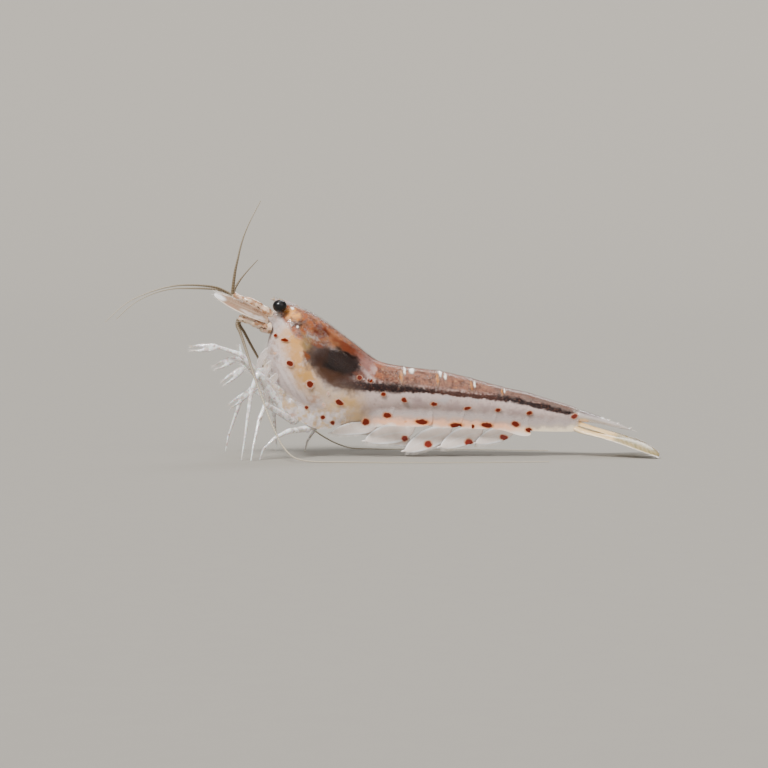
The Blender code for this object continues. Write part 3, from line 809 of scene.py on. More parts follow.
@dataclass(frozen=True)
class FinFinish(Finish):
    """Film-thin chitin leaf: milky and see-through, bright at its rim, with red spots where it has them."""

    # To the eye: a film to see through, with a stiff bright rim and slanting veins a third of a mm apart
    name: str = "milky_fin_film"
    film: str = "#D8CCC6"
    core: str = "#B9A9A3"
    rib: str = "#FFF8F0"
    spot: str = "#8A1C02"
    halo: str = "#E08A4A"
    alpha: float = 0.5
    spacing: float = 0.34
    ribs: float = 0.08
    core_amount: float = 0.5
    core_start: float = 0.0
    rim_width: float = 0.38
    midrib: float = 0.5
    relief: float = 0.03 * MM
    spots: tuple = ()
    streaks: tuple = ()

    def surface(self, marks: Markings) -> dict[str, object]:
        """A milky film with its rim, veins, streaks, painted highlights and spots.

        Args:
            marks: The material's nodes and patterns.

        Returns:
            What goes into the shader.
        """
        put, place, blotches = marks.put, marks.place, marks.blotches
        along = put("Attribute", out="Fac", attribute_name="along")
        out = put("Attribute", out="Fac", attribute_name="rim")
        slant = put("Math", put("Math", along, math.tau / self.spacing, **TIMES),
                    put("Math", out, -7.0, **TIMES), **PLUS)
        veins = put("Math", put("Math", slant, operation="SINE"),
                    put("Math", put("TexNoise", {0: place, 2: 1 / 0.35, 3: 3, 4: 0.55}), 1.6, **TIMES),
                    **PLUS)
        rib = put("MapRange", veins, 0.2, 2.2, 0.0, self.ribs, **SOFT)
        edge = put("Math", put("MapRange", out, 1.0 - self.rim_width, 1.0 - self.rim_width * 0.2, **SOFT),
                   put("MapRange", out, 0.16, 0.05, 0.0, self.midrib, **SOFT), **MOST)
        milk = blotches(0.7, 0.35, 0.65)
        shade = put("Math", put("MapRange", along, self.core_start, self.core_start + 0.8, **SOFT),
                    put("Math", put("Math", milk, 0.25, **TIMES), 0.75, **PLUS), **TIMES)
        colour = put("Mix", {0: put("Math", shade, self.core_amount, **TIMES), 6: self.film, 7: self.core},
                     **PAINT)
        colour = put("Mix", {0: put("Math", edge, rib, **MOST), 6: colour, 7: self.rib}, **PAINT)
        alpha = put("Math", self.alpha, put("Math", put("Math", milk, rib, **MOST), 0.12, **TIMES), **PLUS)
        alpha = put("Math", alpha, put("Math", edge, 0.95, **TIMES), **MOST)
        # Streaks of colour, and on the telson painted highlights where its dorsal spines stand
        for *streak, shade, strength in self.streaks:
            mask = put("MapRange", marks.ellipse(marks.fine, *streak), 1.4, 0.6, 0.0, strength, **SOFT)
            colour = put("Mix", {0: mask, 6: colour, 7: shade}, **PAINT)
            alpha = put("Math", alpha, mask, **MOST)
        if self.spots:
            near = marks.nearest(self.spots)
            colour = put("Mix", {0: put("MapRange", near, 1.7, 1.0, 0.0, 0.8, **SOFT), 6: colour,
                                 7: self.halo}, **PAINT)
            core = put("MapRange", near, 1.22, 0.92, **SOFT)
            colour = put("Mix", {0: core, 6: colour, 7: self.spot}, **PAINT)
            alpha = put("Math", alpha, core, **MOST)
        bump = put("Bump", {"Height": rib, "Strength": 0.3, "Distance": self.relief}, out="Normal")
        return {"Base Color": colour, "Alpha": alpha, "Normal": bump, "Roughness": 0.25, "Coat Weight": 0.4,
                "Coat Roughness": 0.1}


@dataclass(frozen=True)
class WhipFinish(Finish):
    """Ringed thread of chitin: olive brown at its root, fading to pale."""

    # To the eye: a matt thread, lost as it thins.  Rings, 0.1 mm apart in life, are drawn 0.28 mm apart
    name: str = "ringed_feeler"
    root: str = "#67543A"
    tip: str = "#C2B6A1"
    ring: str = "#9E8E74"
    spacing: float = 0.28
    relief: float = 0.03 * MM

    def surface(self, marks: Markings) -> dict[str, object]:
        """Rings along the thread, which fades from root to tip.

        Args:
            marks: The material's nodes and patterns.

        Returns:
            What goes into the shader.
        """
        put = marks.put
        along = put("Attribute", out="Fac", attribute_name="along")
        wave = put("Math", put("Math", along, math.tau / self.spacing, **TIMES), operation="SINE")
        colour = put("Mix", {0: put("MapRange", along, 0.5, 13.0, **SOFT), 6: self.root, 7: self.tip},
                     **PAINT)
        colour = put("Mix", {0: put("MapRange", wave, 0.2, 0.9, 0.0, 0.45, **SOFT), 6: colour,
                             7: self.ring}, **PAINT)
        bump = put("Bump", {"Height": wave, "Strength": 0.4, "Distance": self.relief}, out="Normal")
        return {"Base Color": colour, "Normal": bump,
                "Alpha": put("MapRange", along, 4.0, 22.0, 0.95, 0.7, **SOFT), "Roughness": 0.35}


@dataclass(frozen=True)
class HairFinish(Finish):
    """Setae: fine stiff hairs of clear chitin, whitish where they crowd."""

    # To the eye: thin whitish lines that thicken to a haze where they crowd, yellower every 0.8 mm or so
    name: str = "pale_setae"
    pale: str = "#EFE6DE"
    warm: str = "#D9C3A4"

    def surface(self, marks: Markings) -> dict[str, object]:
        """Pale hairs, with warmer ones among them.

        Args:
            marks: The material's nodes and patterns.

        Returns:
            What goes into the shader.
        """
        put, blotches = marks.put, marks.blotches
        colour = put("Mix", {0: blotches(0.8, 0.5, 0.7), 6: self.pale, 7: self.warm}, **PAINT)
        return {"Base Color": colour, "Alpha": 0.8, "Roughness": 0.35}


@dataclass(frozen=True)
class PaperFinish:
    """Unglazed paper, pressed from pulp and tinted."""

    # To the eye: even and without gloss, its fibres gathered in soft clouds 2 mm across
    name: str = "matt_paper"
    colour: str = "#928C83"
    fibre: str = "#959086"
    cloud: float = 2.0 * MM
    roughness: float = 0.85

    def build(self) -> Material:
        """Make the material.

        Returns:
            The material.
        """
        material = bpy.data.materials.new(self.name)
        material.use_nodes = True
        tree = material.node_tree
        place = add(tree, "TexCoord", out="Object")
        pulp = add(tree, "TexNoise", {"Vector": place, "Scale": 1 / self.cloud, "Detail": 3.0})
        tint = add(tree, "Mix", {0: pulp, 6: self.colour, 7: self.fibre}, **PAINT)
        feed(tree, tree.nodes["Principled BSDF"], {"Base Color": tint, "Roughness": self.roughness})
        return material


class Look(Enum):
    """Every finish on the animal."""

    CUTICLE = CuticleFinish()
    BEAK = CuticleFinish("beak_cuticle", clear="#7E6A62", glass=0.8)
    FLESH = FleshFinish()
    CORNEA = CorneaFinish()
    LIMB = LimbFinish()
    STEM = LimbFinish("flecked_feeler_stem", "#B5855F", "#E2C6AC", "#54301C", 0.86, 1.0)
    SCALE = FinFinish("rosy_scale_film", "#CBAA8C", "#97745A", "#EFD9C4", alpha=0.62, core_amount=0.8,
                      rim_width=0.24, streaks=SCALE_STREAKS)
    TELSON = FinFinish("clear_telson_cuticle", "#B8AAA5", "#8C7E78", "#EFE2D6", alpha=0.34, spacing=0.9,
                       streaks=TELSON_STREAKS_AND_HIGHLIGHTS)
    LEAF = FinFinish("spotted_swimmer_film", "#FFF6EE", "#E4CFC2", "#FFFFFF", alpha=0.9, core_amount=0.6,
                     spots=LEAF_SPOTS)
    BLADE = FinFinish("ivory_fan_blade", "#EBC488", "#857850", "#FFE9BE", alpha=0.92, spacing=0.5, ribs=0.1,
                      core_amount=1.0, core_start=4.2, rim_width=0.12, midrib=0.15)
    LOBE = FinFinish("milky_mouthpart_film", "#EDE2DC", "#D9C9C0", "#F6EEE9", alpha=0.36, core_amount=0.5)
    WHIP = WhipFinish()
    HAIR = HairFinish()


# ---------------------------------------- bench operations


def deselect() -> None:
    """Leave edit mode and clear the selection."""
    if bpy.context.object and bpy.context.object.mode != "OBJECT":
        bpy.ops.object.mode_set(mode="OBJECT")
    bpy.ops.object.select_all(action="DESELECT")


def pick(piece: Piece) -> None:
    """Make one piece the only selected and active one.

    Args:
        piece: The piece.
    """
    deselect()
    piece.select_set(True)
    bpy.context.view_layer.objects.active = piece


def turn_selection(turn: Matrix, centre: Vector) -> None:
    """Rotate what is selected in edit mode about a centre, one axis after the other.

    Args:
        turn: The rotation.
        centre: The point that stays where it is.
    """
    for axis, angle in zip("XYZ", turn.to_euler("XYZ")):
        if abs(angle) > 1e-6:
            bpy.ops.transform.rotate(value=-angle, orient_axis=axis, orient_type="GLOBAL",
                                     center_override=centre)


def move_ring(now: Ring, then: Ring) -> None:
    """Carry the selected ring of points from one cross-section to another.

    Args:
        now: The cross-section that the points lie on.
        then: The one that they go to.
    """
    axes = (tuple(now.side), tuple(now.up), tuple(now.side.cross(now.up)))
    bpy.ops.transform.resize(value=(then.half_width / now.half_width, then.half_height / now.half_height, 1),
                             orient_type="GLOBAL", orient_matrix=axes, orient_matrix_type="GLOBAL",
                             center_override=now.centre)
    turn_selection(then.turn @ now.turn.inverted(), now.centre)
    bpy.ops.transform.translate(value=then.centre - now.centre)


def start_profile(points: int, capped: bool) -> Piece:
    """Begin a piece as a circle of radius 1 in the XY plane, left selected in edit mode.

    Args:
        points: Points round the circle.
        capped: Whether a face fills it.

    Returns:
        The new piece.
    """
    deselect()
    bpy.ops.mesh.primitive_circle_add(vertices=points, radius=1, fill_type="NGON" if capped else "NOTHING",
                                      location=(0, 0, 0))
    bpy.ops.object.mode_set(mode="EDIT")
    bpy.ops.mesh.select_all(action="SELECT")
    return bpy.context.object


def sweep(name: str, rings: Sequence[Ring], points: int = 16, capped: bool = True,
          shape: Callable[[Piece], None] | None = None) -> Piece:
    """Extrude a profile from ring to ring.

    Args:
        name: Name of the piece.
        rings: The cross-sections to pass through.
        points: Points round the profile.
        capped: Whether both ends are closed.
        shape: Edits the profile, a circle of radius 1, before it is extruded.

    Returns:
        The piece, in millimetres.
    """
    piece = start_profile(points, capped)
    piece.name = piece.data.name = name
    if shape:
        shape(piece)
    move_ring(Ring(Vector(), Vector((1, 0, 0)), Vector((0, 1, 0)), 1, 1), rings[0])
    for now, then in zip(rings, rings[1:]):
        bpy.ops.mesh.extrude_region_move()
        move_ring(now, then)
    bpy.ops.mesh.select_all(action="SELECT")
    bpy.ops.mesh.normals_make_consistent(inside=False)
    deselect()
    return piece


def select_points(piece: Piece, wanted: Callable[[Vector], bool]) -> int:
    """Select the points of a piece by their place, and leave it in edit mode.

    Args:
        piece: The piece, in either mode.
        wanted: Says of a point's place whether it is selected.

    Returns:
        How many points are selected.
    """
    if piece.mode == "EDIT":
        bpy.ops.object.mode_set(mode="OBJECT")
    found = 0
    for part in (piece.data.polygons, piece.data.edges):
        for element in part:
            element.select = False
    for point in piece.data.vertices:
        point.select = wanted(point.co)
        found += point.select
    bpy.ops.object.mode_set(mode="EDIT")
    bpy.ops.mesh.select_mode(type="VERT")
    return found


def modify(piece: Piece, kind: str, **settings: object) -> None:
    """Add a modifier with its settings and apply it.

    Args:
        piece: The piece.
        kind: The modifier's type.
        **settings: Its settings.
    """
    pick(piece)
    modifier = piece.modifiers.new(kind.lower(), kind)
    for key, value in settings.items():
        setattr(modifier, key, value)
    bpy.ops.object.modifier_apply(modifier=modifier.name)


def round_off(piece: Piece, levels: int) -> None:
    """Smooth a piece with an applied subdivision surface."""
    modify(piece, "SUBSURF", levels=levels, render_levels=levels)


def thread(name: str, points: Sequence[Vector], radii: Sequence[float], sides: int = 2) -> Piece:
    """A round tapering thread or limb through points.

    Args:
        name: Name of the piece.
        points: Its centre line.
        radii: Half-thickness at each point.
        sides: Bevel resolution of the tube.

    Returns:
        The piece, a closed mesh in millimetres.
    """
    deselect()
    bpy.ops.curve.primitive_nurbs_path_add(location=(0, 0, 0))
    piece = bpy.context.object
    piece.name = name
    curve = piece.data
    curve.splines.clear()
    curve.bevel_depth = 1.0
    curve.bevel_resolution = sides
    curve.use_fill_caps = True
    spline = curve.splines.new("POLY")
    spline.points.add(len(points) - 1)
    for knot, point, radius in zip(spline.points, points, radii):
        knot.co = (*point, 1)
        knot.radius = radius
    pick(piece)
    bpy.ops.object.convert(target="MESH")
    piece = bpy.context.object
    bpy.ops.object.mode_set(mode="EDIT")
    bpy.ops.mesh.select_all(action="SELECT")
    bpy.ops.mesh.remove_doubles(threshold=1e-5)
    bpy.ops.mesh.normals_make_consistent(inside=False)
    deselect()
    return piece


def write_along(piece: Piece, route: Sequence[Vector], widths: Sequence[float] = ()) -> None:
    """Give each point its distance in mm along a route, and how near it is to the rim of a leaf.

    Args:
        piece: The piece; it gets the attributes along and, for a leaf, rim.
        route: The middle line.
        widths: Half widths of a leaf at each point of the route.
    """
    tree = kdtree.KDTree(len(route))
    lengths = [0.0]
    for i, point in enumerate(route):
        tree.insert(point, i)
        if i:
            lengths.append(lengths[-1] + (point - route[i - 1]).length)
    tree.balance()
    along = piece.data.attributes.new("along", "FLOAT", "POINT")
    rim = piece.data.attributes.new("rim", "FLOAT", "POINT")
    for point in piece.data.vertices:
        _, i, gap = tree.find(point.co)
        along.data[point.index].value = lengths[i]
        rim.data[point.index].value = gap / widths[i] if widths else 0.0


def finer(route: Sequence[Vector], values: Sequence[float], parts: int) -> tuple[list[Vector], list[float]]:
    """Cut each stretch of a route, and of the values along it, into equal parts.

    Args:
        route: The route.
        values: A value at each of its points.
        parts: Parts of each stretch.

    Returns:
        The finer route and its values.
    """
    points, between = [route[0]], [values[0]]
    for i in range(len(route) - 1):
        for k in range(1, parts + 1):
            points.append(route[i].lerp(route[i + 1], k / parts))
            between.append(values[i] + (values[i + 1] - values[i]) * k / parts)
    return points, between


def settle(piece: Piece, origin: Vector) -> None:
    """Turn a piece from millimetres in the animal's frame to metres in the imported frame.

    Args:
        piece: The piece.
        origin: The animal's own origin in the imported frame.
    """
    pick(piece)
    piece.scale = (MM, MM, MM)
    piece.location = origin
    bpy.ops.object.transform_apply(location=True, rotation=True, scale=True)


@dataclass
class Bench:
    """Settles each finished piece into the frame and dresses it."""

    origin: Vector
    made: int = 0
    materials: dict[Look, Material] = field(init=False)

    def __post_init__(self) -> None:
        """Make every material."""
        self.materials = {look: look.value.build(self.origin) for look in Look}

    def finish(self, piece: Piece, look: Look, slot: Slot, *nodes: str, crease: float = 50.0) -> None:
        """Place, smooth and dress a piece.

        Args:
            piece: The piece, in millimetres.
            look: Its finish.
            slot: The record's slot for it; not used.
            *nodes: The CAD nodes that it stands for.
            crease: Edges sharper than this many degrees stay sharp.
        """
        settle(piece, self.origin)
        bpy.ops.object.shade_smooth_by_angle(angle=math.radians(crease))
        piece.data.materials.clear()
        piece.data.materials.append(self.materials[look])
        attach(piece, "root")
        if nodes:
            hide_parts(*nodes)
        self.made += 1
        log.info("%s: %d faces, for %s", piece.name, len(piece.data.polygons), ", ".join(nodes) or "trim")


@dataclass
class Bristle:
    """One fine hair: where it grows, which way, how long and how thick, in mm."""

    root: Vector
    way: Vector
    length: float
    thick: float = 0.03

    @property
    def tip(self) -> Vector:
        """Where the hair ends."""
        return self.root + self.way.normalized() * self.length


def bristles(name: str, hairs: Sequence[Bristle]) -> Piece:
    """Join many hairs into one mesh; each is a straight three-sided spike.

    Args:
        name: Name of the piece.
        hairs: The hairs.

    Returns:
        The piece, in millimetres.
    """
    verts: list[Vector] = []
    faces: list[tuple[int, ...]] = []
    for hair in hairs:
        way = hair.way.normalized()
        side = way.orthogonal().normalized()
        first = len(verts)
        for share, girth in ((0.0, 1.0), (0.55, 0.7)):
            centre = hair.root + way * hair.length * share
            for k in range(3):
                spoke = Matrix.Rotation(k * math.tau / 3, 3, way) @ side
                verts.append(centre + spoke * hair.thick * girth)
        verts.append(hair.root + way * hair.length)
        faces.append((first + 2, first + 1, first))
        for k in range(3):
            j = (k + 1) % 3
            faces.append((first + k, first + j, first + 3 + j, first + 3 + k))
            faces.append((first + 3 + k, first + 3 + j, first + 6))
    mesh = bpy.data.meshes.new(name)
    mesh.from_pydata(verts, [], faces)
    piece = bpy.data.objects.new(name, mesh)
    bpy.context.scene.collection.objects.link(piece)
    return piece


def fringe(dice: random.Random, rings: Sequence[Ring], count: int, lean: float,
           reach: tuple[float, float], thick: float, below: bool = False) -> list[Bristle]:
    """Hairs along the rims of a leaf.

    Args:
        dice: What the random numbers come from.
        rings: The leaf's cross-sections.
        count: Hairs on each rim between two of them.
        lean: How far they lean outwards, for each mm that they run on.
        reach: Their shortest and longest length.
        thick: Their thickness.
        below: Whether they grow on the lower rim only.

    Returns:
        The hairs.
    """
    hairs = []
    for now, then in zip(rings, rings[1:]):
        ahead = (then.centre - now.centre).normalized()
        for edge in (-1, 1):
            if below and now.side.z * edge >= 0:
                continue
            for i in range(count):
                share = (i + dice.random()) / count
                root = (now.centre + now.side * edge * now.half_width * 0.96).lerp(
                    then.centre + then.side * edge * then.half_width * 0.96, share)
                hairs.append(Bristle(root, ahead + now.side * edge * lean, dice.uniform(*reach), thick))
    return hairs


# ---------------------------------------- the animal


@dataclass
class Assembly:
    """A part of the animal that makes its pieces on the bench."""

    bench: Bench


@dataclass
class Flesh(Assembly):
    """The soft body seen through the shell: head, thorax and tail muscle as one skin."""

    clearance: float = 0.11
    snout: tuple[tuple[float, float, float, float], ...] = (
        (-12.15, 14.95, 0.45, 0.45), (-11.85, 14.95, 0.75, 0.8), (-11.3, 15.05, 0.95, 1.1))

    def rings(self) -> list[Ring]:
        """Cross-sections from the face between the feelers to the root of the tail fan.

        Returns:
            The cross-sections, from head to tail.
        """
        face = section(CARAPACE, 0.0)
        rings = [Ring(Vector((x, 0, z)), face.side, face.up, wide, tall) for x, z, wide, tall in self.snout]
        for place in (0.15, 0.6, 1.2, 2.0, 3.0, 4.0, 5.0, 6.0, 6.9):
            ring = section(CARAPACE, place)
            rings.append(Ring(ring.centre, ring.side, ring.up, ring.half_width - self.clearance,
                              ring.half_height - self.clearance))
        for step in range(1, 13):
            ring = section(ABDOMEN, step / 2)
            rise = 0.085 if step < 11 else 0.05
            tall = 0.91 if step < 11 else 0.84
            rings.append(Ring(ring.centre + ring.up * ring.half_height * rise, ring.side, ring.up,
                              ring.half_width * 0.95 - 0.08, ring.half_height * tall - 0.05))
        return rings

    def build(self) -> None:
        """Make the skin and dress it."""
        piece = sweep("flesh_body", self.rings(), points=24)
        round_off(piece, 2)
        self.bench.finish(piece, Look.FLESH, Slot.SHELL, "carapace", *[f"abdomen_{n}" for n in range(1, 7)])


def hang_curtains(piece: Piece, cut: float, foot: float, drop: float, widths: Sequence[float]) -> None:
    """Open a round profile below and hang a curtain from each of its two ends.

    Args:
        piece: A circle of radius 1, in edit mode.
        cut: What is lower than this is taken away.
        foot: A height just over the two ends.
        drop: Height of each step of the curtains.
        widths: How wide each step is against the one above it.
    """
    select_points(piece, lambda p: p.y < cut)
    bpy.ops.mesh.delete(type="VERT")
    for wide in widths:
        select_points(piece, lambda p: p.y < foot and abs(p.x) > 0.5)
        bpy.ops.mesh.extrude_region_move(TRANSFORM_OT_translate={"value": (0, -drop, 0)})
        bpy.ops.transform.resize(value=(wide, 1, 1), center_override=(0, 0, 0))
        foot -= drop


@dataclass
class CarapaceShell(Assembly):
    """The clear shield over head and thorax, open below, with its margin, ridge and beak."""

    steps: int = 16
    points: int = 44
    drop: float = 0.285
    thickness: float = 0.1
    keel: float = 0.16
    corner: float = 2.6
    corner_rise: float = 0.34
    beak_root: tuple[float, float, float] = (-8.2, 0.0, 15.98)
    beak_tip: tuple[float, float, float] = (-11.6, 0.0, 17.03)
    teeth: int = 7

    def profile(self, piece: Piece) -> None:
        """A curtain on each side, open below, and a back that narrows to a ridge.

        Args:
            piece: A circle of radius 1, in edit mode.
        """
        hang_curtains(piece, -0.3, -0.24, self.drop, (0.985, 0.955, 0.9))
        for height in (0.55, 0.8):
            select_points(piece, lambda p: p.y > height)
            bpy.ops.transform.resize(value=(1 - self.keel / 2, 1, 1), center_override=(0, 0, 0))
        bpy.ops.mesh.select_all(action="SELECT")

    def build(self) -> None:
        """Make the shield and the beak."""
        last = len(CARAPACE) - 1
        rings = [section(CARAPACE, step * (last + 0.12) / self.steps) for step in range(self.steps + 1)]
        piece = sweep("shell_carapace", rings, points=self.points, capped=False, shape=self.profile)
        for side in Side:
            socket = Vector((EYE[0], EYE[1] * side.value, EYE[2]))
            select_points(piece, lambda p: (p - socket).length < 1.25)
            bpy.ops.transform.translate(value=(0.28, 0, -0.12))
        deselect()
        self.round_corner(piece, rings)
        face_outwards(piece)
        modify(piece, "SUBSURF", levels=2, render_levels=2)
        modify(piece, "SOLIDIFY", thickness=self.thickness, offset=-1.0)
        self.bench.finish(piece, Look.CUTICLE, Slot.SHELL, "carapace")
        self.build_beak()

    def round_corner(self, piece: Piece, rings: Sequence[Ring]) -> None:
        """Round the lower rear corner of the cheek upwards.

        Args:
            piece: The shield.
            rings: The cross-sections that it follows.
        """
        last = rings[-1]
        for point in piece.data.vertices:
            gap = abs((point.co - last.centre).dot(last.turn.col[2]))
            height = (point.co - last.centre).dot(last.up) / last.half_height
            weight = smooth(-height, 0.35, 1.1) * (1 - smooth(gap, 0.0, self.corner))
            point.co += last.up * last.half_height * self.corner_rise * weight

    def build_beak(self) -> None:
        """The rostrum: a thin blade on the ridge of the back, with small teeth above."""
        root, tip = Vector(self.beak_root), Vector(self.beak_tip)
        middle = Vector((-9.75, 0.0, 16.52))
        spine = [root, root.lerp(middle, 0.5) + UP * 0.02, middle, middle.lerp(tip, 0.5), tip]
        piece = sweep("shell_rostrum", spine_rings(spine, (0.1, 0.26, 0.3, 0.22, 0.06),
                                                   (0.05, 0.12, 0.14, 0.11, 0.04), UP), points=10)
        round_off(piece, 2)
        self.bench.finish(piece, Look.BEAK, Slot.SHELL, "rostrum")
        ahead = (tip - middle).normalized()
        teeth = []
        for i in range(self.teeth):
            place = spine[1].lerp(spine[4], 0.1 + 0.8 * i / self.teeth) + UP * 0.22
            teeth.append(Bristle(place, ahead + UP * 0.7, 0.26, 0.05))
        self.bench.finish(bristles("rostrum_teeth", teeth), Look.BEAK, Slot.SHELL)


@dataclass
class RingPlates(Assembly):
    """The six overlapping plates of the abdomen, with rounded side lobes."""

    points: int = 40
    drop: float = 0.28
    thickness: float = 0.09
    overlap: float = 0.07
    flare: float = 0.022
    lobe: float = 0.11
    saddle: int = 2
    hanging: int = 5
    hang: tuple[float, float, float] = (0.75, 0.0, -0.62)

    def profile(self, piece: Piece) -> None:
        """A round back whose two ends run down as straight side plates.

        Args:
            piece: A circle of radius 1, in edit mode.
        """
        hang_curtains(piece, -0.2, -0.15, self.drop, (1.0, 0.985, 0.955))
        bpy.ops.mesh.select_all(action="SELECT")

    def shape_lobes(self, piece: Piece, rings: Sequence[Ring], number: int) -> None:
        """Round the side plates at both ends, widen the saddle plate's and lengthen the hanging one's.

        Args:
            piece: The plate.
            rings: The cross-sections that it follows.
            number: Which plate it is, from 1.
        """
        saddle, hanging = number == self.saddle, number == self.hanging
        for point in piece.data.vertices:
            gaps = [abs((point.co - ring.centre).dot(ring.turn.col[2])) for ring in rings]
            near = gaps.index(min(gaps))
            ring, share = rings[near], 2 * near / (len(rings) - 1) - 1
            height = (point.co - ring.centre).dot(ring.up) / ring.half_height
            weight = smooth(-height, 0.25, 1.0)
            if not weight:
                continue
            point.co += ring.up * ring.half_height * self.lobe * weight * abs(share) ** 3
            if saddle:
                reach = 0.62 if share < 0 else 0.45
                point.co += Vector((reach * share * weight, 0, 0))
                point.co.y += math.copysign(0.13 * weight, point.co.y)
            if hanging:
                point.co += Vector(self.hang) * smooth(-height, 0.6, 1.0) * smooth(share, -0.2, 0.7)

    def build(self) -> None:
        """Make the six plates, each tucked under the one ahead of it."""
        for number in range(1, 7):
            rings = []
            for step in range(9):
                share = step / 8
                tuck = 0.12 if number == 1 else 0.03
                ring = section(ABDOMEN, number - 1 - tuck + share * (1 + self.overlap + tuck))
                grow = 1 - 0.012 + self.flare * smooth(share, 0.55, 1.0)
                rings.append(Ring(ring.centre, ring.side, ring.up, ring.half_width * grow,
                                  ring.half_height * (grow if share < 0.95 else grow * 0.995)))
            piece = sweep(f"shell_abdomen_{number}", rings, points=self.points, capped=False,
                          shape=self.profile)
            self.shape_lobes(piece, rings, number)
            face_outwards(piece)
            modify(piece, "SUBSURF", levels=2, render_levels=2)
            modify(piece, "SOLIDIFY", thickness=self.thickness, offset=-1.0)
            self.bench.finish(piece, Look.CUTICLE, Slot.SHELL, f"abdomen_{number}")


def face_outwards(piece: Piece) -> None:
    """Turn an open shell so that its faces point away from its own middle.

    Args:
        piece: The shell.
    """
    points = [face.center for face in piece.data.polygons]
    middle = sum(points, Vector()) / len(points)
    lean = sum((face.center - middle).dot(face.normal) for face in piece.data.polygons)
    if lean < 0:
        pick(piece)
        bpy.ops.object.mode_set(mode="EDIT")
        bpy.ops.mesh.select_all(action="SELECT")
        bpy.ops.mesh.flip_normals()
        deselect()


@dataclass
class Eyes(Assembly):
    """Black round eyes on short stalks."""

    radii: tuple[float, float, float] = (0.77, 0.72, 0.68)
    stalk_root: tuple[float, float, float] = (-10.0, 0.4, 15.8)

    def build(self) -> None:
        """Make both eyes and both stalks."""
        for side in Side:
            centre = on_side([EYE], side)[0]
            root = on_side([self.stalk_root], side)[0]
            deselect()
            bpy.ops.mesh.primitive_uv_sphere_add(segments=40, ring_count=28, radius=1, location=(0, 0, 0))
            eye = bpy.context.object
            eye.name = eye.data.name = f"cornea_{side.word}"
            back = (root - centre).normalized()
            select_points(eye, lambda p: p.normalized().dot(back) > 0.9)
            bpy.ops.transform.resize(value=(0.9, 0.9, 0.9), center_override=(0, 0, 0))
            deselect()
            eye.scale, eye.location = self.radii, centre
            bpy.ops.object.select_all(action="DESELECT")
            eye.select_set(True)
            bpy.ops.object.transform_apply(location=True, rotation=True, scale=True)
            self.bench.finish(eye, Look.CORNEA, Slot.EYE, f"eye_{side.word}", crease=80)
            spine = [root - (centre - root) * 0.5, root, root.lerp(centre, 0.45), root.lerp(centre, 0.75)]
            rings = spine_rings(spine, (0.34, 0.38, 0.46, 0.52), (0.3, 0.36, 0.44, 0.5), ACROSS)
            piece = sweep(f"eye_stem_{side.word}", rings, points=14)
            round_off(piece, 1)
            self.bench.finish(piece, Look.STEM, Slot.SHELL, f"eyestalk_{side.word}")


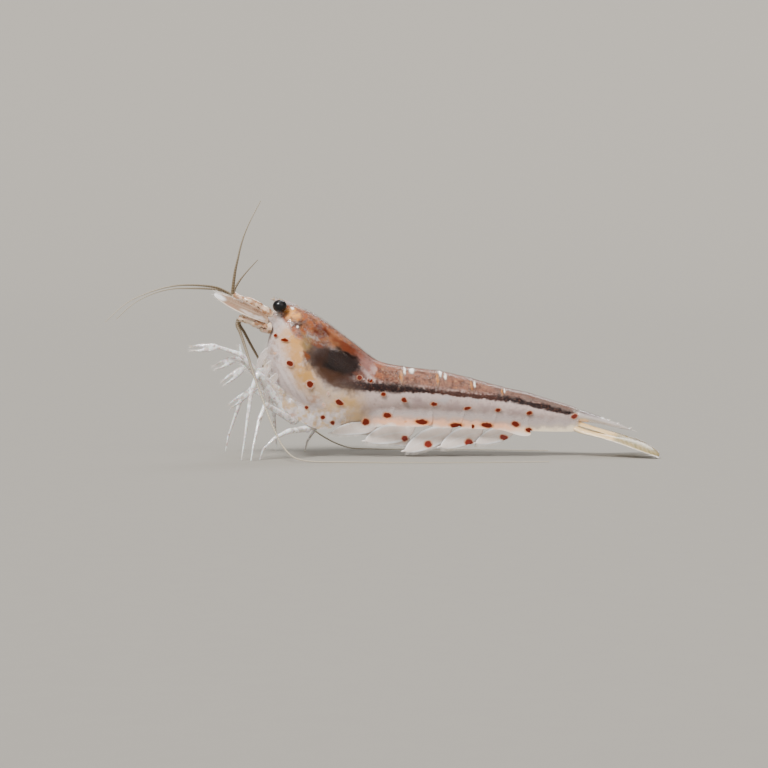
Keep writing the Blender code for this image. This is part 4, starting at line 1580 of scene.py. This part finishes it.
@dataclass
class Feelers(Assembly):
    """Stems, scales and whips of the two pairs of antennae."""

    antennule: tuple = ((-11.3, 0.5, 15.25), (-11.62, 0.55, 15.45), (-12.65, 0.62, 16.2),
                        (-13.73, 0.66, 16.74), (-14.92, 0.7, 17.12), (-15.55, 0.72, 17.42))
    antenna: tuple = ((-11.6, 0.95, 13.85), (-12.15, 1.25, 13.95), (-13.19, 1.75, 14.45),
                      (-14.85, 1.98, 14.95))
    scale: tuple = ((-11.7, 0.95, 14.8), (-12.15, 1.2, 14.98), (-13.19, 1.7, 15.55), (-14.81, 1.95, 16.25),
                    (-16.43, 1.98, 17.05), (-17.45, 1.92, 17.6))
    scale_widths: tuple = (0.55, 0.8, 1.08, 1.02, 0.74, 0.26)
    ground: float = 0.06
    # Half-thickness at root and tip of each whip, and its middle line, which stays above ground
    routes: dict = field(default_factory=lambda: {
        "antennule_outer_left": (0.22, 0.045, (
            (-15.42, -0.8, 17.42), (-15.5, -0.95, 17.95), (-15.24, -1.15, 19.89), (-14.97, -1.3, 21.08),
            (-14.49, -1.5, 23.03), (-13.73, -1.8, 24.97), (-12.43, -2.1, 27.46))),
        "antennule_outer_right": (0.21, 0.05, (
            (-15.42, 0.8, 17.42), (-15.45, 0.95, 17.95), (-14.95, 1.2, 18.85), (-14.27, 1.5, 19.75),
            (-12.97, 1.9, 21.2))),
        "antennule_inner_left": (0.18, 0.04, (
            (-15.6, -0.66, 17.42), (-16.15, -0.6, 17.7), (-17.51, -0.9, 18.27), (-20.22, -1.6, 18.49),
            (-22.38, -2.2, 18.27), (-24.54, -2.8, 17.62), (-26.7, -3.4, 16.54), (-28.86, -4.0, 14.59))),
        "antennule_inner_right": (0.16, 0.04, (
            (-15.6, 0.66, 17.4), (-16.15, 0.6, 17.62), (-17.51, 0.9, 18.02), (-20.22, 1.6, 18.12),
            (-22.38, 2.3, 18.05), (-24.54, 3.0, 17.5), (-26.7, 3.7, 16.4), (-28.6, 4.2, 14.75))),
        "antenna_flagellum_left": (0.2, 0.045, (
            (-14.85, -2.0, 14.85), (-14.98, -2.15, 14.2), (-14.6, -2.8, 13.4), (-14.05, -3.6, 11.9),
            (-13.08, -5.0, 9.08), (-12.11, -6.3, 6.59), (-10.9, -7.6, 3.6), (-9.5, -8.6, 1.2),
            (-7.6, -9.4, 0.2), (-3.0, -10.15, 0.1), (4.0, -10.75, 0.1), (11.0, -10.5, 0.1),
            (18.0, -9.6, 0.1))),
        "antenna_flagellum_right": (0.2, 0.045, (
            (-14.85, 2.0, 14.85), (-14.98, 2.15, 14.2), (-14.5, 2.9, 13.3), (-13.6, 3.9, 11.5),
            (-11.9, 5.4, 8.4), (-9.6, 6.9, 5.0), (-6.8, 8.1, 2.1), (-3.6, 8.8, 0.4),
            (-0.5, 9.05, 0.12), (5.0, 8.85, 0.1), (12.0, 8.0, 0.1), (19.0, 6.8, 0.1))),
    })

    def build(self) -> None:
        """Make stems, scales with their fringes, and whips."""
        for side in Side:
            self.build_stem(f"antennule_peduncle_{side.word}", on_side(self.antennule, side),
                            (0.46, 0.31), (0.36, 0.7))
            self.build_stem(f"antenna_peduncle_{side.word}", on_side(self.antenna, side),
                            (0.66, 0.3), (0.45, 0.75))
            self.build_scale(side)
        for node, (root, tip, route) in self.routes.items():
            points = fine_route(route, 6)
            count = len(points) - 1
            for point in points:
                point.z = max(point.z, self.ground)
            radii = [tip + (root - tip) * (1 - i / count) ** 1.4 for i in range(count + 1)]
            piece = thread(f"whip_{node}", points, radii)
            write_along(piece, points)
            self.bench.finish(piece, Look.WHIP, Slot.FEELER, node)

    def build_stem(self, node: str, route: Sequence[Vector], radii: tuple[float, float],
                   joints: tuple[float, float]) -> None:
        """A stem of three swollen joints, with a collar of short hairs at each.

        Args:
            node: The CAD node that it stands for.
            route: Its middle line.
            radii: Half-thickness at root and tip.
            joints: Where its two inner joints are, as shares of its length.
        """
        points = fine_route(route, 8)
        count = len(points) - 1
        girths = []
        for i in range(count + 1):
            share = i / count
            base = radii[0] + (radii[1] - radii[0]) * share
            waist = sum(0.26 * math.exp(-((share - joint) / 0.035) ** 2) for joint in joints)
            swell = sum(0.14 * math.exp(-((share - joint + 0.08) / 0.06) ** 2) for joint in (*joints, 1.05))
            girths.append(base * (1 - waist + swell))
        piece = thread(f"stem_{node}", points, girths, sides=4)
        write_along(piece, points)
        self.bench.finish(piece, Look.STEM, Slot.LIMB, node)
        dice = random.Random(node)
        hairs = []
        for joint in (*joints, 0.97):
            place = points[int(joint * count) - 1]
            ahead = (points[-1] - points[-3]).normalized()
            for _ in range(14):
                spoke = Vector((dice.gauss(0, 1), dice.gauss(0, 1), dice.gauss(0, 1))).normalized()
                spoke = (spoke - ahead * spoke.dot(ahead)).normalized()
                hairs.append(Bristle(place + spoke * 0.3, ahead + spoke * 0.6, dice.uniform(0.25, 0.5),
                                     0.014))
        self.bench.finish(bristles(f"{node}_hairs", hairs), Look.HAIR, Slot.LIMB)

    def build_scale(self, side: Side) -> None:
        """The leaf beside the stem: a thin plate, stiff outside and fringed inside and at the tip.

        Args:
            side: The side of the animal.
        """
        spine = fine_route(on_side(self.scale, side), 2)
        wide = [glide([(w,) for w in self.scale_widths], i / 2)[0] for i in range(len(spine))]
        rings = spine_rings(spine, wide, [0.09] * len(spine), (ACROSS - UP * side.value * 0.8).normalized())
        piece = sweep(f"leaf_antenna_scale_{side.word}", rings, points=16)
        round_off(piece, 1)
        write_along(piece, *finer(spine, wide, 8))
        self.bench.finish(piece, Look.SCALE, Slot.FIN, f"antenna_scale_{side.word}")
        dice = random.Random(f"scale {side.word}")
        hairs = []
        for ring in rings[4:]:
            for edge in (-1, 1):
                inner = edge * side.value < 0
                for _ in range(7 if inner else 2):
                    root = ring.centre + ring.side * edge * ring.half_width * 0.95
                    root += ring.turn.col[2] * dice.uniform(-0.3, 0.3)
                    way = ring.side * edge * 0.7 + Vector((-0.8, 0, 0.45))
                    hairs.append(Bristle(root, way, dice.uniform(0.3, 0.5), 0.013))
        self.bench.finish(bristles(f"antenna_scale_{side.word}_fringe", hairs), Look.HAIR, Slot.FIN)


@dataclass
class Mouthparts(Assembly):
    """Soft translucent lobes that hang between the cheeks and the first legs."""

    # x, distance from the mid-plane and z of the root, middle and tip, then the half width
    lobes: tuple = (((-11.3, 0.6, 11.8), (-12.5, 0.7, 10.6), (-13.0, 0.6, 8.4), 0.4),
                    ((-11.0, 1.2, 10.4), (-12.1, 1.45, 9.2), (-12.4, 1.4, 7.0), 0.42),
                    ((-10.6, 1.7, 9.0), (-11.6, 2.05, 7.7), (-11.8, 2.0, 5.7), 0.42))
    outline: tuple = ((0.0, 0.55), (0.2, 0.9), (0.45, 1.0), (0.7, 0.75), (0.9, 0.4), (1.0, 0.12))
    film: float = 0.1

    def build(self) -> None:
        """Make the lobes of both sides with their fringes."""
        for side in Side:
            for number, (*route, wide) in enumerate(self.lobes, start=1):
                points = on_side(route, side)
                spine = [Vector(glide(points, 2 * place)) for place, _ in self.outline]
                rings = spine_rings(spine, [wide * share for _, share in self.outline], [self.film] * 6, UP)
                node = f"maxilliped_{side.word}"
                piece = sweep(f"lobe_{number}_{side.word}", rings, points=14)
                round_off(piece, 2)
                write_along(piece, *finer(spine, [ring.half_width for ring in rings], 8))
                self.bench.finish(piece, Look.LOBE, Slot.LIMB, node)
                dice = random.Random(f"lobe {number} {side.word}")
                hairs = []
                for now, then in zip(rings[2:], rings[3:]):
                    for _ in range(9):
                        edge = dice.choice((-1, 1))
                        middle = now.centre.lerp(then.centre, dice.random())
                        root = middle + now.side * edge * then.half_width * 0.9
                        way = (then.centre - now.centre).normalized() + now.side * edge * 0.6
                        hairs.append(Bristle(root, way, dice.uniform(0.25, 0.5), 0.014))
                self.bench.finish(bristles(f"lobe_{number}_{side.word}_hairs", hairs), Look.HAIR, Slot.LIMB)


@dataclass(frozen=True)
class Limb:
    """One leg: its hip on the carapace, the route after it, and its half-thickness."""

    place: float
    angle: float
    route: tuple[tuple[float, float, float], ...]
    hip: float = 0.42
    end: float = 0.17
    walking: bool = False


@dataclass
class Legs(Assembly):
    """Feeding limbs, claw legs and walking legs, all clear and jointed."""

    knee: float = 0.22
    taper: float = 1.0
    tuck: float = 0.72
    limbs: dict = field(default_factory=lambda: {
        "maxilliped_left": Limb(1.95, 163, (
            (-13.5, -1.05, 9.35), (-14.45, -0.95, 10.4), (-14.78, -0.75, 12.1)), 0.38, 0.1),
        "maxilliped_right": Limb(1.95, 163, (
            (-13.4, 1.05, 9.1), (-14.6, 0.95, 9.9), (-15.22, 0.75, 11.48)), 0.38, 0.1),
        "pereiopod_1_left": Limb(2.5, 152, (
            (-12.55, -2.2, 8.35), (-14.05, -2.3, 10.1), (-15.13, -2.25, 10.64)), 0.54),
        "pereiopod_1_right": Limb(2.5, 152, (
            (-12.4, 2.1, 8.1), (-13.73, 2.3, 9.6), (-14.59, 2.2, 9.38)), 0.54),
        "pereiopod_2_left": Limb(3.0, 148, (
            (-12.1, -3.1, 8.3), (-14.49, -3.3, 11.1), (-16.96, -3.1, 11.88)), 0.54),
        "pereiopod_2_right": Limb(3.0, 148, (
            (-11.9, 3.1, 7.3), (-13.08, 3.6, 8.3), (-13.94, 3.5, 6.82)), 0.54),
        "pereiopod_3_left": Limb(3.65, 146, (
            (-9.9, -2.75, 5.0), (-12.65, -4.2, 9.1), (-13.35, -4.8, 7.1), (-14.05, -6.2, 1.6),
            (-14.32, -6.5, 0.02)), 0.52, 0.05, True),
        "pereiopod_3_right": Limb(3.65, 146, (
            (-9.9, 2.75, 5.0), (-13.73, 4.6, 7.1), (-15.03, 5.3, 5.84), (-16.52, 6.5, 1.7),
            (-16.84, 6.76, 0.02)), 0.52, 0.05, True),
        "pereiopod_4_left": Limb(4.25, 146, (
            (-8.9, -3.0, 3.9), (-11.78, -5.1, 5.84), (-12.43, -5.8, 4.32), (-13.0, -7.2, 1.5),
            (-13.24, -7.52, 0.02)), 0.52, 0.05, True),
        "pereiopod_4_right": Limb(4.25, 146, (
            (-8.9, 3.0, 3.9), (-10.92, 5.3, 5.62), (-11.46, 6.2, 4.11), (-11.28, 7.8, 1.5),
            (-11.22, 8.12, 0.02)), 0.52, 0.05, True),
        "pereiopod_5_left": Limb(4.9, 146, (
            (-7.4, -2.9, 3.1), (-9.4, -4.3, 2.95), (-10.8, -4.9, 2.3), (-12.05, -5.4, 1.1),
            (-12.4, -5.52, 0.02)), 0.52, 0.05, True),
        "pereiopod_5_right": Limb(4.9, 146, (
            (-7.1, 2.95, 3.0), (-6.4, 4.6, 3.6), (-6.9, 5.4, 2.5), (-7.75, 6.4, 1.2), (-8.05, 6.62, 0.02)),
            0.52, 0.05, True),
    })

    def hip(self, limb: Limb, side: Side, lift: float) -> Vector:
        """A point over the carapace's underside, where a leg comes out.

        Args:
            limb: The leg.
            side: The side of the animal.
            lift: How far in mm the point stands out from the shell.

        Returns:
            The point.
        """
        ring = section(CARAPACE, limb.place)
        turn = math.radians((limb.angle + 180) / 2)
        reach = ring.up * ring.half_height * math.cos(turn)
        reach += ACROSS * side.value * ring.half_width * math.sin(turn)
        return ring.centre + reach * (1 + lift / reach.length)

    def build(self) -> None:
        """Make every leg, with its swollen joints and its hairs."""
        for node, limb in self.limbs.items():
            side = Side.LEFT if node.endswith("left") else Side.RIGHT
            hip = self.hip(limb, side, -0.15)
            root = Vector((hip.x + 0.4, hip.y * 0.5, hip.z + 0.8))
            (x, y, z), *rest = limb.route
            corners = [root, hip, Vector((x, y * self.tuck, z)), *[Vector(p) for p in rest]]
            points = self.refine(bent(corners, self.knee))
            count = len(points) - 1
            girths = []
            for i, point in enumerate(points):
                share = i / count
                base = limb.hip + (limb.end - limb.hip) * share ** self.taper
                gap = min((point - corner).length for corner in corners[2:-1])
                swell, waist = 0.3 * math.exp(-(gap / 0.28) ** 2), 0.24 * math.exp(-(gap / 0.1) ** 2)
                girths.append(base * (1 + swell - waist))
            piece = thread(f"limb_{node}", points, girths, sides=3)
            write_along(piece, points)
            self.bench.finish(piece, Look.LIMB, Slot.LIMB, node)
            self.build_hairs(node, limb, points, girths)

    def refine(self, points: Sequence[Vector]) -> list[Vector]:
        """The same route with a point at least every 0.2 mm.

        Args:
            points: The route.

        Returns:
            The finer route.
        """
        fine = [points[0]]
        for before, after in zip(points, points[1:]):
            parts = max(1, round((after - before).length / 0.2))
            fine += [before.lerp(after, (i + 1) / parts) for i in range(parts)]
        return fine

    def build_hairs(self, node: str, limb: Limb, points: Sequence[Vector],
                    girths: Sequence[float]) -> None:
        """Spines under a walking leg's last joints, or a comb of hairs on a feeding limb.

        Args:
            node: The CAD node that the leg stands for.
            limb: The leg.
            points: Its middle line.
            girths: Half-thickness at each point.
        """
        dice = random.Random(node)
        comb = node.startswith("maxilliped")
        hairs = []
        first = int(len(points) * (0.3 if comb else 0.55))
        for i in range(first, len(points) - 1):
            ahead = (points[i + 1] - points[i - 1]).normalized()
            under = Vector((0.35, 0, -1)) if limb.walking else Vector((-0.8, 0, -0.7))
            under = (under - ahead * under.dot(ahead)).normalized()
            for _ in range(5 if comb else 1):
                way = under + ahead * 0.9 + ACROSS * dice.uniform(-0.5, 0.5)
                root = points[i] + under * girths[i] * 0.8
                length = dice.uniform(0.3, 0.62) if comb else dice.uniform(0.12, 0.24)
                if root.z + length * way.normalized().z > 0.02:
                    hairs.append(Bristle(root, way, length, 0.016 if comb else 0.02))
        self.bench.finish(bristles(f"{node}_hairs", hairs), Look.HAIR, Slot.LIMB)


@dataclass
class Claws(Assembly):
    """The four small claws with a brush of hairs on each finger."""

    height: float = 0.4
    thickness: float = 0.26
    seats: dict = field(default_factory=lambda: {
        "claw_1_left": ((-15.05, -2.25, 10.67), (-17.3, -2.02, 9.67)),
        "claw_1_right": ((-14.52, 2.2, 9.43), (-16.66, 1.92, 7.86)),
        "claw_2_left": ((-16.9, -3.1, 11.89), (-19.78, -2.82, 11.7)),
        "claw_2_right": ((-13.88, 3.5, 6.88), (-16.02, 3.12, 5.27)),
    })

    def model(self) -> Piece:
        """One claw of length 1 along X: palm, fixed finger below and moving finger above.

        Returns:
            The claw, a pattern to copy.
        """
        deselect()
        bpy.ops.mesh.primitive_cube_add(size=1, location=(0.06, 0, 0))
        piece = bpy.context.object
        piece.scale = (0.12, self.thickness, self.height)
        bpy.ops.object.transform_apply(location=True, rotation=False, scale=True)
        select_points(piece, lambda p: p.x < 0.06)
        bpy.ops.transform.resize(value=(1, 0.6, 0.5), center_override=(0, 0, 0))
        front = 0.12
        for step, wide, tall in ((0.16, 1.25, 1.25), (0.2, 0.95, 0.95)):
            select_points(piece, lambda p: p.x > front - 1e-4)
            bpy.ops.mesh.extrude_region_move(TRANSFORM_OT_translate={"value": (step, 0, 0)})
            front += step
            bpy.ops.transform.resize(value=(1, wide, tall), center_override=(front, 0, 0))
        bpy.ops.mesh.select_all(action="SELECT")
        bpy.ops.mesh.bisect(plane_co=(0, 0, 0), plane_no=(0, 0, 1))
        for sign in (1, -1):
            select_points(piece, lambda p: p.x > front - 1e-4 and p.x < front + 1e-4 and p.z * sign > -1e-4)
            bpy.ops.mesh.extrude_region_move(TRANSFORM_OT_translate={"value": (0.28, 0, 0.05 * sign)})
            bpy.ops.transform.resize(value=(1, 0.8, 0.72), center_override=(front + 0.28, 0, 0.16 * sign))
            bpy.ops.mesh.extrude_region_move(TRANSFORM_OT_translate={"value": (0.24, 0, -0.05 * sign)})
            bpy.ops.transform.resize(value=(1, 0.4, 0.35), center_override=(front + 0.52, 0, 0.1 * sign))
        bpy.ops.mesh.select_all(action="SELECT")
        bpy.ops.mesh.normals_make_consistent(inside=False)
        round_off(piece, 2)
        return piece

    def build(self) -> None:
        """Copy the claw to its four seats and brush its finger tips."""
        pattern = self.model()
        for node, (wrist, tip) in self.seats.items():
            wrist, tip = Vector(wrist), Vector(tip)
            ahead = (tip - wrist).normalized()
            side = UP.cross(ahead).normalized()
            rise = ahead.cross(side)
            turn = Matrix((ahead, side, rise)).transposed().to_4x4()
            size = Matrix.Diagonal(((tip - wrist).length, 1.9, 1.9, 1))
            piece = pattern.copy()
            piece.data = pattern.data.copy()
            piece.name = piece.data.name = f"pincer_{node}"
            bpy.context.scene.collection.objects.link(piece)
            piece.data.transform(Matrix.Translation(wrist) @ turn @ size)
            self.bench.finish(piece, Look.LIMB, Slot.LIMB, node)
            dice = random.Random(node)
            hairs = []
            for finger in (1, -1):
                for _ in range(26):
                    share = dice.uniform(0.78, 0.97)
                    root = wrist.lerp(tip, share) + rise * finger * (0.3 - 0.2 * (share - 0.7))
                    way = ahead * 1.6 + rise * dice.gauss(0.15 * finger, 0.35) + side * dice.gauss(0, 0.3)
                    hairs.append(Bristle(root - rise * finger * 0.08, way, dice.uniform(0.35, 0.75), 0.016))
            self.bench.finish(bristles(f"{node}_brush", hairs), Look.HAIR, Slot.LIMB)
        bpy.data.objects.remove(pattern)


@dataclass
class Swimmers(Assembly):
    """The five pairs of swimming legs: a stalk and two leaves each, the outer one fringed below."""

    # bend x, bend z, tip x, tip z, half height of the outer leaf, lowest z of the inner leaf at the bend
    leaves: tuple = ((-0.3, 3.05, -5.1, 2.62, 0.72, 2.3), (3.6, 2.65, -1.5, 1.78, 1.12, 0.95),
                     (7.6, 2.6, 2.75, 0.62, 1.12, 0.9), (11.0, 2.6, 6.6, 1.05, 1.04, 1.45),
                     (14.5, 2.6, 10.4, 1.45, 0.86, 2.05))
    outline: tuple = ((0, 0.5), (0.12, 0.78), (0.3, 1.0), (0.55, 0.98), (0.78, 0.72), (0.92, 0.4), (1, 0.12))
    root_out: float = 0.34
    tip_out: float = 0.66
    belly: float = -0.55
    hip: float = 0.6
    film: float = 0.07
    sink: float = 0.18

    def build(self) -> None:
        """Make all ten."""
        for number, (bend_x, bend_z, tip_x, tip_z, tall, keel) in enumerate(self.leaves, start=1):
            ring = section(ABDOMEN, number - 0.5)
            belly_z = (ring.centre + ring.up * ring.half_height * self.belly).z
            for side in Side:
                out, far = ring.half_width * self.root_out, ring.half_width * self.tip_out
                sink = self.sink if side is Side.RIGHT else 0.0
                hip, bend, tip = on_side(((bend_x + self.hip, out, belly_z), (bend_x, out, bend_z - sink),
                                          (tip_x + 0.25, far, tip_z - sink)), side)
                node = f"pleopod_{number}_{side.word}"
                spine = [hip] + [bend.lerp(tip, place) + UP * 0.25 * math.sin(math.pi * place)
                                 for place, _ in self.outline]
                talls = [0.28] + [tall * share for _, share in self.outline]
                piece = sweep(f"leaf_{node}", spine_rings(spine, talls, [0.2] + [self.film] * 7, UP),
                              points=14)
                round_off(piece, 2)
                write_along(piece, *finer(spine, talls, 10))
                self.bench.finish(piece, Look.LEAF, Slot.FIN, node)
                inner, low = [], []
                for place, _ in self.outline:
                    top = bend.lerp(tip, place)
                    foot = keel - sink + (tip_z - 0.12 - keel) * place
                    inner.append(Vector((top.x - 0.45 * place, top.y - 0.22 * side.value,
                                         (top.z + foot) / 2)))
                    low.append(max((top.z - foot) / 2, 0.07) * (0.8 if place == 0 else 1.0))
                piece = sweep(f"inner_{node}", spine_rings(inner, low, [self.film * 0.8] * 7, UP), points=12)
                round_off(piece, 1)
                write_along(piece, *finer(inner, low, 10))
                self.bench.finish(piece, Look.LEAF, Slot.FIN, node)
                rings = spine_rings(spine, talls, [0.1] * 8, UP)
                hairs = fringe(random.Random(node), rings[3:], 11, 0.75, (0.3, 0.55), 0.013, below=True)
                hairs = [hair for hair in hairs if hair.tip.z > 0.05]
                self.bench.finish(bristles(f"{node}_fringe", hairs), Look.HAIR, Slot.FIN)


@dataclass
class TailFan(Assembly):
    """The tapering telson with its spines, and the four blades laid beside it."""

    telson: tuple = ((21.3, 0.0, 4.35), (21.98, 0.0, 4.38), (23.2, 0.0, 4.1), (24.43, 0.0, 3.78),
                     (26.27, 0.0, 3.22), (27.6, 0.0, 2.8))
    telson_wide: tuple = (0.95, 1.0, 0.92, 0.78, 0.52, 0.26)
    telson_deep: tuple = (0.72, 0.66, 0.5, 0.38, 0.24, 0.1)
    spine_places: tuple = (2.95, 3.35, 3.85, 4.75)
    blades: dict = field(default_factory=lambda: {
        "uropod_inner": (((21.4, 0.42, 3.4), (22.1, 0.45, 3.22), (23.6, 0.8, 2.8), (25.6, 1.15, 2.1),
                          (27.6, 1.42, 1.15), (29.1, 1.58, 0.42), (29.8, 1.61, 0.16)),
                         (0.36, 0.38, 0.34, 0.52, 0.86, 0.72, 0.26)),
        "uropod_outer": (((21.3, 1.0, 2.95), (21.9, 1.28, 2.62), (23.4, 1.85, 2.3), (25.6, 2.75, 1.75),
                          (27.8, 3.45, 1.0), (29.4, 3.85, 0.4), (30.1, 4.01, 0.16)),
                         (0.4, 0.42, 0.36, 0.52, 0.92, 0.78, 0.28)),
    })
    film: float = 0.1
    roll: float = 0.55
    rear: float = 30.38

    def build(self) -> None:
        """Make the telson, its spines, the blades and their fringes."""
        spine = [Vector(point) for point in self.telson]
        rings = spine_rings(spine, self.telson_wide, self.telson_deep, ACROSS)
        piece = sweep("shell_telson", rings, points=18)
        round_off(piece, 2)
        self.bench.finish(piece, Look.TELSON, Slot.SHELL, "telson")
        spines = []
        for place in self.spine_places:
            centre, wide = glide(self.telson, place), glide([(w,) for w in self.telson_wide], place)[0]
            deep = glide([(d,) for d in self.telson_deep], place)[0]
            for edge in (-1, 1):
                root = Vector(centre) + ACROSS * edge * wide * 0.55 + UP * deep * 0.75
                spines.append(Bristle(root, Vector((0.9, 0.1 * edge, 0.4)), 0.24, 0.08))
        for i in range(7):
            spread = (i - 3) / 3
            spines.append(Bristle(spine[-1] + ACROSS * spread * 0.2, Vector((1, spread * 0.35, -0.35)),
                                  0.55, 0.03))
        self.bench.finish(bristles("telson_spines", spines), Look.HAIR, Slot.SHELL)
        for name, (route, wide) in self.blades.items():
            for side in Side:
                self.build_blade(f"{name}_{side.word}", on_side(route, side), wide)

    def build_blade(self, node: str, route: Sequence[Vector], wide: Sequence[float]) -> None:
        """One blade of the fan: a stiff root, a thin leaf with a rib, and a fringe of hairs.

        Args:
            node: The CAD node that it stands for.
            route: Its middle line.
            wide: Half width at each point of the route.
        """
        spine = fine_route(route, 2)
        width = [glide([(w,) for w in wide], i / 2)[0] for i in range(len(spine))]
        deep = [0.26 + (self.film - 0.26) * smooth(i / 2, 0.5, 2.5) for i in range(len(spine))]
        side = 1 if node.endswith("right") else -1
        middle = [point + UP * self.roll * 0.8 * half for point, half in zip(spine, width)]
        across = (ACROSS - UP * side * self.roll).normalized()
        rings = spine_rings(middle, width, deep, across)
        piece = sweep(f"leaf_{node}", rings, points=16)
        round_off(piece, 2)
        write_along(piece, *finer([ring.centre for ring in rings], width, 8))
        self.bench.finish(piece, Look.BLADE, Slot.FIN, node)
        hairs = fringe(random.Random(node), rings[5:], 12, 0.55, (0.25, 0.45), 0.014)
        hairs = [hair for hair in hairs if hair.tip.x < self.rear and hair.tip.z > 0.03]
        self.bench.finish(bristles(f"{node}_fringe", hairs), Look.HAIR, Slot.FIN)


# ---------------------------------------- studio


@dataclass
class Studio:
    """Pale floor that curves up behind, soft lights, and the camera."""

    origin: Vector
    view_centre: tuple[float, float] = (0.757, 7.784)
    view_width: float = 83.03
    distance: float = 260.0
    elevation: float = 2.5
    flat: float = 1.0
    bend: float = 3.0
    room: float = 0.28
    room_colour: str = "#E8E9EC"
    # Lights: name, where from in mm, apparent size in degrees, strength
    lights: tuple = (("key", (-90, -150, 200), 18, 5.6), ("fill", (160, -220, 140), 50, 0.7),
                     ("rim", (60, 190, 190), 24, 0.9), ("top", (0, 10, 260), 30, 0.7))

    def at(self, x: float, y: float, z: float) -> Vector:
        """A place given in mm in the animal's frame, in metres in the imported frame."""
        return self.origin + Vector((x, y, z)) * MM

    def build(self) -> None:
        """Make floor, lights and camera."""
        self.build_floor()
        self.build_lights()
        self.build_camera()

    def build_floor(self) -> None:
        """A round sheet of matt paper, flat where the animal rests and curved up all round."""
        deselect()
        bpy.ops.mesh.primitive_circle_add(vertices=96, radius=self.flat, fill_type="TRIFAN",
                                          location=(0, 0, 0))
        floor = bpy.context.object
        floor.name = "studio_floor"
        bpy.ops.object.mode_set(mode="EDIT")
        select_points(floor, lambda p: p.length > self.flat * 0.9)
        outline = [(self.flat + self.bend * math.sin(turn), self.bend * (1 - math.cos(turn)))
                   for turn in (math.radians(3.0 * step) for step in range(13))]
        for (wide, low), (wider, high) in zip(outline, outline[1:]):
            bpy.ops.mesh.extrude_region_move(TRANSFORM_OT_translate={"value": (0, 0, high - low)})
            bpy.ops.transform.resize(value=(wider / wide, wider / wide, 1), center_override=(0, 0, 0))
        deselect()
        pick(floor)
        bpy.ops.object.shade_smooth()
        floor.data.materials.append(PaperFinish().build())

    def build_lights(self) -> None:
        """A soft key from above left, a fill, a rim from behind, and an even room."""
        for name, place, spread, power in self.lights:
            light = bpy.data.lights.new(name, "SUN")
            light.angle, light.energy = math.radians(spread), power
            lamp = bpy.data.objects.new(name, light)
            bpy.context.scene.collection.objects.link(lamp)
            lamp.location = Vector(place) * MM
            lamp.rotation_euler = (-lamp.location).to_track_quat("-Z", "Y").to_euler()
        world = bpy.data.worlds.new("soft_room")
        world.use_nodes = True
        feed(world.node_tree, world.node_tree.nodes["Background"],
             {"Color": self.room_colour, "Strength": self.room})
        bpy.context.scene.world = world

    def build_camera(self) -> None:
        """A long lens nearly level with the animal, square to its left flank."""
        data = bpy.data.cameras.new("camera")
        camera = bpy.data.objects.new("camera", data)
        bpy.context.scene.collection.objects.link(camera)
        data.sensor_width = 36.0
        data.lens = data.sensor_width * self.distance / self.view_width
        data.clip_start, data.clip_end = 0.01, 10.0
        lift = math.radians(self.elevation)
        aim = self.at(self.view_centre[0], 0, self.view_centre[1])
        camera.location = aim + Vector((0, -math.cos(lift), math.sin(lift))) * self.distance * MM
        camera.rotation_euler = (math.radians(90 - self.elevation), 0, 0)
        bpy.context.scene.camera = camera


def find_origin() -> Vector:
    """The animal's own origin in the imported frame, read from where its eyes are.

    Returns:
        The origin, in metres.
    """
    corners = [Vector(corner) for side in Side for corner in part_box(f"eye_{side.word}")]
    middle = sum(corners, Vector()) / len(corners)
    return middle - Vector((EYE[0], 0, EYE[2])) * MM


def main() -> None:
    """Build the studio and the animal, piece by piece."""
    logging.basicConfig(level=logging.INFO, format="%(name)s: %(message)s")
    origin = find_origin()
    bench = Bench(origin)
    Studio(origin).build()
    for part in (Flesh, CarapaceShell, RingPlates, Eyes, Feelers, Mouthparts, Legs, Claws, Swimmers, TailFan):
        part(bench).build()
    log.info("%d pieces", bench.made)


if __name__ == "__main__":
    main()
